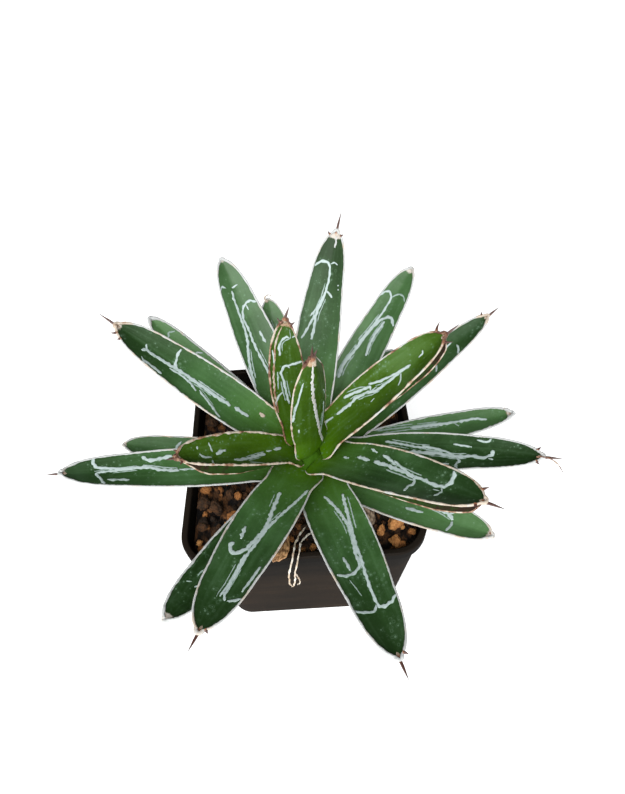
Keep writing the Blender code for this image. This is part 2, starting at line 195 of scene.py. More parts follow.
def lofted(rings: np.ndarray, mark: np.ndarray, stuff: int = 0) -> Shell:
    """Skin a row of rings, closed at both ends by a fan to the ring's middle.

    Args:
        rings: rings by points by three coordinates.
        mark: rings by points by three numbers for the finish.
        stuff: the index of the finish.

    Returns:
        A closed shell with its faces outward.
    """
    count, around = rings.shape[:2]
    level = np.arange(count - 1)[:, None] * around
    k = np.arange(around)[None, :]
    nxt = (k + 1) % around
    quads = np.stack([level + k, level + nxt, level + around + nxt, level + around + k], -1)
    points = np.concatenate([rings.reshape(-1, 3), rings[0].mean(0)[None], rings[-1].mean(0)[None]])
    marks = np.concatenate([mark.reshape(-1, 3), mark[0].mean(0)[None], mark[-1].mean(0)[None]])
    first, last = count * around, count * around + 1
    k, nxt = k[0], nxt[0]
    top = (count - 1) * around
    low = np.stack([nxt, k, np.full(around, first), np.full(around, first)], -1)
    high = np.stack([top + k, top + nxt, np.full(around, last), np.full(around, last)], -1)
    return Shell(points, np.concatenate([quads.reshape(-1, 4), low, high]), marks, stuff).outward()


def swept(path: np.ndarray, side: np.ndarray, up: np.ndarray, wide: np.ndarray,
          high: np.ndarray, mark: np.ndarray, stuff: int, around: int = 12) -> Shell:
    """Sweep an ellipse along a path.

    Args:
        path: the middle of the ellipse at each step.
        side: direction of its width at each step.
        up: direction of its height at each step.
        wide: half its width at each step.
        high: half its height at each step.
        mark: three numbers for the finish at each step.
        stuff: the index of the finish.
        around: points round the ellipse.

    Returns:
        A closed tube.
    """
    turn = np.linspace(0.0, tau, around, endpoint=False)
    rings = (path[:, None] + side[:, None] * (wide[:, None] * np.cos(turn))[..., None]
             + up[:, None] * (high[:, None] * np.sin(turn))[..., None])
    return lofted(rings, np.repeat(mark[:, None], around, axis=1), stuff)


def tube(path: np.ndarray, radius: np.ndarray, mark: np.ndarray, stuff: int, guide: np.ndarray,
         flatness: float = 1.0) -> Shell:
    """Sweep a round or flattened section along a free path.

    The width of the section lies across both the path and a guide direction.

    Args:
        path: points along the middle.
        radius: half the width at each point.
        mark: three numbers for the finish at each point.
        stuff: the index of the finish.
        guide: a direction that the path never runs along.
        flatness: height over width.

    Returns:
        A closed tube.
    """
    along = unit(np.gradient(path, axis=0))
    side = unit(np.cross(along, guide))
    return swept(path, side, np.cross(along, side), radius, radius * flatness, mark, stuff,
                 TUBE_POINTS)


def raised(flat: np.ndarray, height: float) -> np.ndarray:
    """Lift flat points to one height.

    Args:
        flat: places on the level, one in each row.
        height: how high they go.

    Returns:
        The points.
    """
    return np.concatenate([flat, np.full((len(flat), 1), height)], 1)


def placed(name: str, data: bpy.types.ID) -> bpy.types.Object:
    """Put a new object into the scene.

    Args:
        name: its name.
        data: its mesh, lamp or camera.

    Returns:
        The object.
    """
    item = bpy.data.objects.new(name, data)
    bpy.context.scene.collection.objects.link(item)
    return item


def build_piece(name: str, shells: Sequence[Shell], finishes: Sequence[bpy.types.Material],
                nodes: Sequence[str] = (), smooth: float = 180.0) -> bpy.types.Object:
    """Make one object of shells, put it under the root, and hide the solids that it stands for.

    Args:
        name: the name of the piece.
        shells: its closed surfaces.
        finishes: its materials, in the order of the shells' indices.
        nodes: the solids that it stands for.
        smooth: edges sharper than this many degrees stay sharp.

    Returns:
        The object.
    """
    mesh = bpy.data.meshes.new(name)
    start, points, faces, marks, stuffs = 0, [], [], [], []
    for shell in shells:
        points.append(shell.points)
        faces.append(shell.faces + start)
        marks.append(shell.mark)
        stuffs.append(np.full(len(shell.faces), shell.stuff))
        start += len(shell.points)
    quads = np.concatenate(faces)
    sizes = np.where(quads[:, 2] == quads[:, 3], 3, 4)
    corners = quads[np.arange(4)[None, :] < sizes[:, None]]
    starts = np.concatenate([[0], np.cumsum(sizes)[:-1]])
    mesh.vertices.add(start)
    mesh.vertices.foreach_set("co", np.concatenate(points).astype(np.float32).ravel())
    mesh.loops.add(len(corners))
    mesh.loops.foreach_set("vertex_index", corners.astype(np.int32))
    mesh.polygons.add(len(quads))
    mesh.polygons.foreach_set("loop_start", starts.astype(np.int32))
    mesh.polygons.foreach_set("material_index", np.concatenate(stuffs).astype(np.int32))
    mesh.update(calc_edges=True)
    layer = mesh.attributes.new("mark", "FLOAT_VECTOR", "POINT")
    layer.data.foreach_set("vector", np.concatenate(marks).astype(np.float32).ravel())
    mesh.validate()
    mesh.shade_smooth()
    if smooth < 180.0:
        mesh.set_sharp_from_angle(angle=radians(smooth))
    for finish in finishes:
        mesh.materials.append(finish)
    piece = placed(name, mesh)
    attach(piece, "root")
    if nodes:
        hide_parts(*nodes)
    LOG.info("%s: %d faces", name, len(quads))
    return piece


# ------------------------------------------------------------------------------ finishes
class Socket:
    """A value in a node tree; arithmetic on it adds the nodes that work it out.

    Args:
        tree: the node tree.
        port: the output socket that gives the value.
    """

    def __init__(self, tree: bpy.types.NodeTree, port: bpy.types.NodeSocket) -> None:
        """Hold an output of a tree."""
        self.tree = tree
        self.port = port

    def math(self, operation: str, *others: Union["Socket", Number]) -> "Socket":
        """Add a Math node whose first input is this value.

        Args:
            operation: the name of the operation.
            others: the other inputs.

        Returns:
            The result.
        """
        node = self.tree.nodes.new("ShaderNodeMath")
        node.operation = operation
        for port, value in zip(node.inputs, (self, *others)):
            plug(self.tree, port, value)
        return Socket(self.tree, node.outputs[0])

    def __add__(self, other: Union["Socket", Number]) -> "Socket":
        """Add."""
        return self.math("ADD", other)

    def __radd__(self, other: Number) -> "Socket":
        """Add to a number."""
        return self.math("ADD", other)

    def __sub__(self, other: Union["Socket", Number]) -> "Socket":
        """Subtract."""
        return self.math("SUBTRACT", other)

    def __rsub__(self, other: Number) -> "Socket":
        """Subtract from a number."""
        return self.math("MULTIPLY", -1.0).math("ADD", other)

    def __mul__(self, other: Union["Socket", Number]) -> "Socket":
        """Multiply."""
        return self.math("MULTIPLY", other)

    def rise(self, low: float, high: float) -> "Socket":
        """Rise smoothly from 0 at low to 1 at high, or fall where high is the smaller.

        Args:
            low: where the result leaves 0.
            high: where it reaches 1.

        Returns:
            The result.
        """
        node = self.tree.nodes.new("ShaderNodeMapRange")
        node.interpolation_type = "SMOOTHSTEP"
        plug(self.tree, node.inputs["Value"], self)
        node.inputs["From Min"].default_value = low
        node.inputs["From Max"].default_value = high
        return Socket(self.tree, node.outputs["Result"])


def plug(tree: bpy.types.NodeTree, port: bpy.types.NodeSocket,
         value: Union[Socket, Number, Sequence[float]]) -> None:
    """Link a value to an input, or set the input to a constant.

    Args:
        tree: the node tree.
        port: the input.
        value: what goes in.
    """
    if isinstance(value, Socket):
        tree.links.new(value.port, port)
    elif port.type == "RGBA" and len(value) == 3:
        port.default_value = (*value, 1.0)
    else:
        port.default_value = value


class Surface:
    """A material under construction, with a Principled shader at its end.

    Args:
        name: the name of the material.
    """

    def __init__(self, name: str) -> None:
        """Start the material, with the inputs that the class names."""
        self.material = bpy.data.materials.new(name)
        self.material.use_nodes = True
        self.tree = self.material.node_tree
        self.shader = self.tree.nodes["Principled BSDF"]

    def add(self, kind: str, inputs: Optional[dict] = None, output: Union[int, str] = 0,
            **settings: object) -> Socket:
        """Add any node.

        Args:
            kind: the node's type, without its ShaderNode prefix.
            inputs: value for each input, by name or number.
            output: which output to give back.
            settings: properties of the node.

        Returns:
            The chosen output.
        """
        node = self.tree.nodes.new("ShaderNode" + kind)
        for key, value in settings.items():
            setattr(node, key, value)
        for key, value in (inputs or {}).items():
            plug(self.tree, node.inputs[key], value)
        return Socket(self.tree, node.outputs[output])

    def place(self) -> Socket:
        """Give the point's place in the object's own frame.

        Returns:
            A vector in metres.
        """
        return self.add("TexCoord", output="Object")

    def marks(self) -> tuple[Socket, Socket, Socket]:
        """Give the three numbers that the mesh holds for its finish.

        Returns:
            The three numbers.
        """
        vector = self.add("Attribute", output="Vector", attribute_name="mark")
        parts = vector.tree.nodes.new("ShaderNodeSeparateXYZ")
        plug(self.tree, parts.inputs[0], vector)
        return tuple(Socket(self.tree, port) for port in parts.outputs)

    def noise(self, where: Socket, scale: float, detail: float = 3.0, rough: float = 0.5) -> Socket:
        """Give smooth noise.

        Args:
            where: the vector that it is read at.
            scale: features for each unit.
            detail: octaves.
            rough: strength of the finer octaves.

        Returns:
            Values about one half.
        """
        return self.add("TexNoise", {"Vector": where, "Scale": scale, "Detail": detail,
                                     "Roughness": rough})

    def mix(self, low: Union[Socket, Colour], high: Union[Socket, Colour],
            share: Union[Socket, Number]) -> Socket:
        """Blend two colours.

        Args:
            low: the colour at share 0.
            high: the colour at share 1.
            share: how much of the second.

        Returns:
            The blend.
        """
        node = self.tree.nodes.new("ShaderNodeMix")
        node.data_type = "RGBA"
        plug(self.tree, node.inputs[0], share)
        plug(self.tree, node.inputs[6], low)
        plug(self.tree, node.inputs[7], high)
        return Socket(self.tree, node.outputs[2])

    def bump(self, height: Socket, distance: float, strength: float) -> None:
        """Roughen the shading normal by a height.

        Args:
            height: the height, in units of the distance.
            distance: height of one unit, in metres.
            strength: how much of it shows.
        """
        normal = self.add("Bump", {"Height": height, "Distance": distance, "Strength": strength},
                          "Normal")
        plug(self.tree, self.shader.inputs["Normal"], normal)

    def finish(self, colour: Union[Socket, Colour], rough: Union[Socket, Number],
               **more: Union[Socket, Number]) -> bpy.types.Material:
        """Set the shader's main inputs.

        Args:
            colour: base colour.
            rough: roughness.
            more: other inputs, with _ for a space.

        Returns:
            The material.
        """
        plug(self.tree, self.shader.inputs["Base Color"], colour)
        plug(self.tree, self.shader.inputs["Roughness"], rough)
        for key, value in more.items():
            plug(self.tree, self.shader.inputs[key.replace("_", " ")], value)
        return self.material


@dataclass(frozen=True)
class LeafSkin:
    """Green waxy skin.  It reads how far along the blade it is, where 1 is the start of the
    horny cap, how far across it is, and how light the leaf is.

    Args:
        name: name of the material.
        deep: colour of the darkest green.
        fresh: colour of the lighter green.
        pale: colour of its faint lengthwise bands and water spots.
        heart: yellow-green at the foot of the leaf.
        horn: colour of the horny cap.
        burnt: colour of the cap's brown patches.
        shade: how far it darkens toward the tip, from 0 to 1, as painted shade on the drooping ends.
        shine: weight of its waxy coat.
        gloss: level of its own reflection.
    """

    name: str
    deep: Colour = (0.006, 0.021, 0.003)
    fresh: Colour = (0.062, 0.155, 0.046)
    pale: Colour = (0.15, 0.25, 0.16)
    heart: Colour = (0.050, 0.130, 0.001)
    horn: Colour = (0.42, 0.385, 0.34)
    burnt: Colour = (0.20, 0.085, 0.04)
    shade: float = 0.85
    shine: float = 0.03
    gloss: float = 0.16

    def make(self) -> bpy.types.Material:
        """Build the material.

        Returns:
            The material.
        """
        s = Surface(self.name)
        along, across, light = s.marks()
        where = s.place()
        grid = s.add("CombineXYZ", {0: along * 2.2, 1: across * 4.5, 2: light * 60.0})
        bands = s.noise(grid, 1.0, 2.0)
        cloud = s.noise(where, 70.0, 3.0)
        fine = s.noise(where, 900.0, 3.0, 0.6)
        tone = cloud.rise(0.3, 0.72) * 0.26 + bands.rise(0.35, 0.7) * 0.12 + fine * 0.12
        green = s.mix(self.deep, self.fresh, tone + light * 0.75 - 0.1)
        # painted shade: the green darkens toward the tip, where the drooping ends got less light
        green = s.mix(green, self.deep, along.rise(0.35, 1.0) * self.shade)
        near = along.rise(0.5, 0.04) * 0.5 + along.rise(0.18, 0.0) * 0.5
        green = s.mix(green, self.heart, near * (0.75 + cloud * 0.4))
        cells = s.add("TexVoronoi", {"Vector": where, "Scale": 640.0}, "Distance")
        size = s.noise(where, 180.0, 3.0)
        spot = (size * 0.44 - cells).rise(0.0, 0.08) * size.rise(0.46, 0.6)
        ring = cells.rise(0.34, 0.42) * cells.rise(0.52, 0.44) * size.rise(0.52, 0.64)
        haze = bands.rise(0.5, 0.85) * 0.10 + fine.rise(0.5, 0.9) * 0.12 + spot * 0.42 + ring * 0.16
        green = s.mix(green, self.pale, haze + cloud.rise(0.5, 0.8) * 0.10)
        edge = along + (fine - 0.5) * 0.03 + (cloud - 0.5) * 0.03 - across * across * 0.012
        capped = edge.rise(0.994, 1.006)
        horn = s.mix(self.horn, self.burnt, s.noise(where, 420.0, 3.0).rise(0.5, 0.68))
        colour = s.mix(green, horn, capped)
        s.bump(fine * 0.5 + bands * 0.5 + cloud * 0.8, 0.00022, 0.5)
        rough = 0.36 + fine * 0.16 + spot * 0.2
        return s.finish(colour, rough, Coat_Weight=self.shine, Coat_Roughness=0.3,
                        Specular_IOR_Level=self.gloss)


@dataclass(frozen=True)
class Horn:
    """Horny edge of the leaf.  It reads how much of it is tanned.

    Args:
        white: colour of the clean horn.
        cream: colour of the warmer horn.
        tan: colour of the tanned horn.
        burnt: colour of the brown patches.
    """

    white: Colour = (0.40, 0.41, 0.405)
    cream: Colour = (0.42, 0.355, 0.285)
    tan: Colour = (0.23, 0.125, 0.07)
    burnt: Colour = (0.085, 0.032, 0.016)

    def make(self) -> bpy.types.Material:
        """Build the material.

        Returns:
            The material.
        """
        s = Surface("leaf_horn")
        _, _, tanned = s.marks()
        where = s.place()
        patch = s.noise(where, 330.0, 4.0, 0.65)
        grain = s.noise(where, 1500.0, 3.0, 0.6)
        share = tanned + (patch - 0.5) * (0.9 + tanned * 1.6)
        colour = s.mix(self.white, self.cream, share.rise(0.15, 0.55))
        colour = s.mix(colour, self.tan, share.rise(0.6, 0.95))
        colour = s.mix(colour, self.burnt, share.rise(0.9, 1.2))
        colour = s.mix(colour, (0.33, 0.24, 0.17), grain.rise(0.56, 0.8) * 0.3)
        s.bump(grain + patch, 0.00020, 0.7)
        return s.finish(colour, 0.5 + grain * 0.2)


@dataclass(frozen=True)
class Underside:
    """Dark underside of a curled margin.  It reads how far along the blade it is.

    Args:
        green: its colour.
        brown: its colour toward the tip.
    """

    green: Colour = (0.012, 0.032, 0.005)
    brown: Colour = (0.016, 0.009, 0.005)

    def make(self) -> bpy.types.Material:
        """Build the material.

        Returns:
            The material.
        """
        s = Surface("leaf_underside")
        along, _, _ = s.marks()
        patch = s.noise(s.place(), 420.0, 4.0, 0.6)
        colour = s.mix(self.green, self.brown, (along + (patch - 0.5) * 0.8).rise(0.68, 0.98))
        s.bump(patch, 0.0002, 0.6)
        return s.finish(colour, 0.7, Specular_IOR_Level=0.05)


@dataclass(frozen=True)
class Print:
    """Pale bud print on the leaf.

    Args:
        pale: its colour.
        thin: its colour where it is worn thin.
        leaf: the green that shows through at its edges.
    """

    pale: Colour = (0.35, 0.42, 0.415)
    thin: Colour = (0.14, 0.22, 0.17)
    leaf: Colour = (0.035, 0.10, 0.03)

    def make(self) -> bpy.types.Material:
        """Build the material.

        Returns:
            The material.
        """
        s = Surface("leaf_print")
        faint, edge, _ = s.marks()
        where = s.place()
        worn = s.noise(where, 520.0, 4.0, 0.65)
        grain = s.noise(where, 2600.0, 2.0)
        share = worn.rise(0.5, 0.78) * 0.6 + faint
        colour = s.mix(self.pale, self.thin, share.math("MINIMUM", 1.0))
        colour = s.mix(colour, self.leaf, (edge + (worn - 0.5) * 1.1).rise(0.55, 1.05))
        s.bump(grain + worn, 0.00012, 0.6)
        return s.finish(colour, 0.62)


@dataclass(frozen=True)
class Spine:
    """Hard spine or tooth.  It reads how far along it is.

    Args:
        root: colour where it leaves the horn.
        rust: colour a little further.
        dark: colour of its length.
        tip: colour of its point.
    """

    root: Colour = (0.36, 0.29, 0.22)
    rust: Colour = (0.20, 0.080, 0.035)
    dark: Colour = (0.055, 0.018, 0.011)
    tip: Colour = (0.025, 0.012, 0.011)

    def make(self) -> bpy.types.Material:
        """Build the material.

        Returns:
            The material.
        """
        s = Surface("leaf_spine")
        along, _, _ = s.marks()
        where = s.place()
        grain = s.noise(where, 900.0, 3.0, 0.6)
        way = along + (grain - 0.5) * 0.22
        colour = s.mix(self.root, self.rust, way.rise(-0.08, 0.06))
        colour = s.mix(colour, self.dark, way.rise(0.08, 0.3))
        colour = s.mix(colour, self.tip, way.rise(0.7, 1.0))
        s.bump(grain, 0.00012, 0.5)
        return s.finish(colour, 0.36 + grain * 0.15, Coat_Weight=0.2, Coat_Roughness=0.2)


@dataclass(frozen=True)
class PotPlastic:
    """Thin black plastic, dustier toward its foot, and paler along its rim from rubbing and from a painted
    highlight.

    Args:
        rim: height of the pot's top edge.
        black: colour of the clean plastic.
        dust: colour of the film on it.
    """

    rim: float
    black: Colour = (0.006, 0.0055, 0.005)
    dust: Colour = (0.036, 0.023, 0.014)

    def make(self) -> bpy.types.Material:
        """Build the material.

        Returns:
            The material.
        """
        s = Surface("pot_plastic")
        where = s.place()
        height = s.add("SeparateXYZ", {0: where}, "Z")
        # paler band along the lip's top edge: rubbed wear, and a painted highlight
        worn = height.rise(self.rim - 0.0016, self.rim - 0.0002)
        dusty = 0.05 + height.rise(self.rim, 0.4 * self.rim) * 0.45
        cloud = s.noise(where, 38.0, 5.0, 0.62)
        fine = s.noise(where, 700.0, 4.0, 0.6)
        streak = s.noise(s.add("VectorMath", {0: where, 1: (1.0, 1.0, 0.12)}, operation="MULTIPLY"),
                         420.0, 3.0)
        level = s.add("VectorMath", {0: where, 1: (0.3, 0.3, 1.8)}, operation="MULTIPLY")
        smudge = s.noise(level, 55.0, 4.0, 0.6).rise(0.42, 0.72)
        film = dusty * (cloud * 0.9 + smudge * 0.55 + streak.rise(0.55, 0.8) * 0.15)
        # the rim band adds rubbed wear and a painted highlight to the film
        film = film + fine.rise(0.62, 0.8) * 0.12 + worn * 0.15
        colour = s.mix(self.black, self.dust, film.math("MINIMUM", 1.0))
        s.bump(fine * 0.6 + cloud, 0.00012, 0.5)
        return s.finish(colour, 0.5 + film * 0.3, IOR=1.0, Coat_Weight=0.05, Coat_Roughness=0.28)


@dataclass(frozen=True)
class Grit:
    """Bark, baked clay and dust.  It reads its tone, from dark to pale, and its depth, which paints shade
    into the gaps between pebbles.

    Args:
        name: name of the material.
        tones: five colours, from the darkest to the palest.
        roughening: height of the surface's roughness, in metres.
    """

    name: str = "soil_grit"
    tones: tuple[Colour, ...] = ((0.005, 0.004, 0.003), (0.024, 0.013, 0.007), (0.085, 0.036, 0.013),
                                 (0.29, 0.115, 0.034), (0.52, 0.25, 0.085))
    roughening: float = 0.0006

    def make(self) -> bpy.types.Material:
        """Build the material.

        Returns:
            The material.
        """
        s = Surface(self.name)
        tone, depth, _ = s.marks()
        where = s.place()
        patch = s.noise(where, 300.0, 4.0, 0.6)
        fine = s.noise(where, 1500.0, 4.0, 0.65)
        level = tone + (patch - 0.5) * 0.42 + (fine - 0.5) * 0.5
        colour: Union[Socket, Colour] = self.tones[0]
        for step, shade in enumerate(self.tones[1:]):
            colour = s.mix(colour, shade, level.rise(step * 0.22, step * 0.22 + 0.24))
        # painted shade: the deeper in a gap between pebbles, the nearer to black
        colour = s.mix(colour, (0.004, 0.003, 0.003), depth)
        s.bump(fine + patch * 0.8, self.roughening, 0.9)
        return s.finish(colour, 0.9, Specular_IOR_Level=0.25)


@dataclass(frozen=True)
class DryLeaf:
    """Dead leaf tissue.  It reads how far along and across the remnant it is.

    Args:
        name: name of the material.
        pale: colour of the light fibres.
        brown: colour between them.
        dark: colour of the stained patches.
        stripes: fibres across the remnant.
    """

    name: str
    pale: Colour
    brown: Colour
    dark: Colour
    stripes: float = 5.0

    def make(self) -> bpy.types.Material:
        """Build the material.

        Returns:
            The material.
        """
        s = Surface(self.name)
        along, across, _ = s.marks()
        where = s.place()
        grid = s.add("CombineXYZ", {0: along * 1.4, 1: across * self.stripes, 2: 0.0})
        fibre = s.noise(grid, 1.6, 3.0, 0.6)
        stain = s.noise(where, 260.0, 4.0)
        colour = s.mix(self.pale, self.brown, fibre.rise(0.4, 0.62))
        colour = s.mix(colour, self.dark, stain.rise(0.5, 0.75) * 0.7)
        s.bump(fibre + stain * 0.5, 0.0003, 0.8)
        return s.finish(colour, 0.75)


@dataclass(frozen=True)
class StemTissue:
    """Pale green stem with a dry brown foot.  It reads how far out of the soil it is.

    Args:
        green: its colour between the leaves.
        brown: its colour at the soil and below.
    """

    green: Colour = (0.026, 0.078, 0.001)
    brown: Colour = (0.10, 0.05, 0.025)

    def make(self) -> bpy.types.Material:
        """Build the material.

        Returns:
            The material.
        """
        s = Surface("stem_tissue")
        above, _, _ = s.marks()
        where = s.place()
        patch = s.noise(where, 400.0, 4.0)
        fine = s.noise(where, 1500.0, 3.0)
        colour = s.mix(self.brown, self.green, (above + (patch - 0.5) * 0.6).rise(0.2, 0.8))
        s.bump(patch + fine * 0.5, 0.0003, 0.8)
        return s.finish(colour, 0.65 + fine * 0.2, Specular_IOR_Level=0.1)


# -------------------------------------------------------------------------------- leaves
class Stuff(Enum):
    """What a shell of a leaf is made of, by its place in the leaf's list of materials."""

    SKIN = 0
    HORN = 1
    PRINT = 2
    SPINE = 3
    UNDER = 4


class Age(Enum):
    """How old a leaf is, which sets its skin."""

    INNER = "inner_leaf_skin"
    GROWN = "grown_leaf_skin"
    OUTER = "outer_leaf_skin"


@dataclass(frozen=True)
class Stroke:
    """One raised line on a blade.

    Args:
        path: points that it passes through: share of the blade from its foot, and place
            across it, from -1 at the right margin to 1 at the left one.
        width: its width in millimetres.
        under: whether it is on the underside.
        horn: how tanned it is where it is horny; less than zero for a pale print.
        faint: how faint a print it is.
    """

    path: tuple[tuple[float, float], ...]
    width: float = 0.8
    under: bool = False
    horn: float = -1.0
    faint: float = 0.0


@dataclass(frozen=True)
class Tooth:
    """A short side tooth near the tip.

    Args:
        at: share of the blade.
        side: 1 for the left margin, -1 for the right one.
        length: in millimetres.
    """

    at: float
    side: int
    length: float


@dataclass(frozen=True)
class Fold:
    """A strip of the underside that shows beyond a margin which curls up.

    Args:
        side: 1 for the left margin, -1 for the right one.
        start: share of the blade where it leaves the margin.
        full: share of the blade where it is widest.
        end: share of the blade from which it narrows again.
        width: in millimetres.
        tan: how tanned the horny line along its edge is.
    """

    side: int
    start: float
    full: float
    end: float
    width: float
    tan: float = 0.9


@dataclass(frozen=True)
class Thread:
    """A dry hair at the tip.

    Args:
        path: points in millimetres from the blade's end: ahead, to the left and up.
        width: in millimetres.
        tan: how tanned it is.
    """

    path: tuple[tuple[float, float, float], ...]
    width: float = 0.3
    tan: float = 0.3


class LeafForm:
    """The shape of one leaf, read from its solid.

    Planes across the leaf cut the solid's edges in points of its cross section.  The two
    points farthest apart are the margins; of those on the middle line, the highest is the
    channel and the lowest is the keel.  A first row of planes stands on the straight line
    from foot to tip and gives the leaf's curve; a second one stands on that curve.

    Args:
        solid: the leaf's object in the frame.
        heart: the point that all leaves grow from.
        spine: length of the end spine beyond the blade.
        swell: how much wider than the solid the blade is, as a share.
    """

    CUTS = np.concatenate([np.linspace(0.012, 0.8, 16), np.linspace(0.84, 0.998, 9)])
    FULL = 14               # the cut whose width the rounded end starts from
    ROUND_FROM = 0.72       # share of the blade at which the rounded end starts
    ROUND_SPAN = 0.285      # share of the blade that it takes to close
    BLUNT = 0.8             # how round the end is, from 0 to 1
    FOOT_SPREAD = 0.75      # how much wider than the solid the foot is, as a share
    NEAR = 0.016            # cut points farther off than this belong to another part of the leaf

    def __init__(self, solid: bpy.types.Object, heart: np.ndarray, spine: float,
                 swell: float) -> None:
        """Read the solid, with the inputs that the class names."""
        mesh = solid.data
        points = np.empty(len(mesh.vertices) * 3, np.float32)
        mesh.vertices.foreach_get("co", points)
        points = points.reshape(-1, 3).astype(float)
        pairs = np.empty(len(mesh.edges) * 2, np.int32)
        mesh.edges.foreach_get("vertices", pairs)
        self.starts, self.ends = points[pairs[::2]], points[pairs[1::2]]
        foot = points[np.argmin(np.linalg.norm(points - heart, axis=1))]
        self.tip = points[np.argmax(np.linalg.norm(points - foot, axis=1))]
        out = foot - heart
        self.left = np.array([-out[1], out[0], 0.0])
        chord = self.tip - foot
        whole = float(np.linalg.norm(chord))
        rows = [self.cut(foot + chord * at, chord) for at in self.CUTS * (1 - spine / whole)]
        middle = np.array([(row[0] + row[1]) / 2 for row in rows] + [self.tip])
        steps = np.concatenate([[0.0], np.cumsum(np.linalg.norm(np.diff(middle, axis=0), axis=1))])
        self.length = float(steps[-1]) - spine
        at = self.CUTS * self.length
        ahead = np.gradient(middle, steps, axis=0)
        rows = [self.cut(place, way) for place, way in zip(smooth_through(steps, middle, at),
                                                           smooth_through(steps, ahead, at))]
        self.rows = np.array(rows).reshape(len(rows), 12)
        self.at = (self.CUTS - self.CUTS[0]) / (self.CUTS[-1] - self.CUTS[0])
        self.swell = swell

    def cut(self, place: np.ndarray, ahead: np.ndarray) -> tuple[np.ndarray, ...]:
        """Cut the solid across.

        Args:
            place: a point of the plane.
            ahead: the direction across which the plane stands.

        Returns:
            The left margin, the right margin, the channel and the keel.
        """
        low, high = (self.starts - place) @ ahead, (self.ends - place) @ ahead
        crossed = low * high < 0
        share = (low[crossed] / (low[crossed] - high[crossed]))[:, None]
        found = self.starts[crossed] * (1 - share) + self.ends[crossed] * share
        found = found[np.linalg.norm(found - place, axis=1) < self.NEAR]
        gaps = np.linalg.norm(found[:, None] - found[None], axis=2)
        i, j = np.unravel_index(np.argmax(gaps), gaps.shape)
        if (found[i] - found[j]) @ self.left < 0:
            i, j = j, i
        left = found[i] - found[j]
        up = unit(np.cross(ahead, left))
        offset = np.abs((found - (found[i] + found[j]) / 2) @ left) / (left @ left)
        inner = found[offset <= np.sort(offset)[min(1, len(offset) - 1)] + 0.02]
        return found[i], found[j], inner[np.argmax(inner @ up)], inner[np.argmin(inner @ up)]

    def section(self, u: np.ndarray) -> tuple[np.ndarray, ...]:
        """Read the blade's cross section at some places along it.

        Args:
            u: shares of the blade's length, from the foot.

        Returns:
            Its middle, its direction to the left, its upward direction, its half width, the
            depth of its channel and its thickness.
        """
        rows = smooth_through(self.at, self.rows, np.clip(u, 0.0, 1.0))
        left, right, top, keel = (rows[:, k:k + 3] for k in (0, 3, 6, 9))
        middle = (left + right) / 2
        half = np.linalg.norm(left - right, axis=1) / 2
        past = np.maximum(u - self.ROUND_FROM, 0.0)
        round_end = np.sqrt(np.maximum(1 - (past / self.ROUND_SPAN) ** 2, 0.0))
        full = np.linalg.norm(self.rows[self.FULL, :3] - self.rows[self.FULL, 3:6]) / 2
        fuller = half + self.BLUNT * np.maximum(full * round_end - half, 0.0)
        half = np.where(u > self.ROUND_FROM, fuller, half)
        half = half * (1 + self.swell * ramp(1.02, 0.75, u))
        half = half * (1 + self.FOOT_SPREAD * ramp(0.2, -0.03, u))
        up = unit(top - keel)
        return (middle, unit(left - right), up, half, ((middle - top) * up).sum(1),
                np.linalg.norm(top - keel, axis=1))

    def surface(self, u: np.ndarray, v: np.ndarray, under: Union[bool, np.ndarray] = False,
                lift: float = 0.0) -> np.ndarray:
        """Find points on the blade.

        The upper face is a parabola across the blade, deepest in the middle; the underside
        lies below it by a thickness that falls to nothing at the margins.

        Args:
            u: shares of the blade's length.
            v: places across it, from -1 to 1.
            under: whether the point is on the underside.
            lift: how far the point stands off the blade.

        Returns:
            The points.
        """
        middle, left, up, half, depth, thick = self.section(u)
        body = thick * np.maximum(1 - np.abs(v) ** 2.3, 0.0) ** 0.85
        fold = 2.0 - 0.75 * ramp(0.45, 0.9, u)
        sink = depth * (1 + 0.7 * ramp(0.6, 0.9, u)) * (1 - np.abs(v) ** fold)
        sink = sink + np.where(under, body, 0.0)
        stand = np.where(under, -lift, lift)
        return middle + left * (half * v)[:, None] + up * (stand - sink)[:, None]


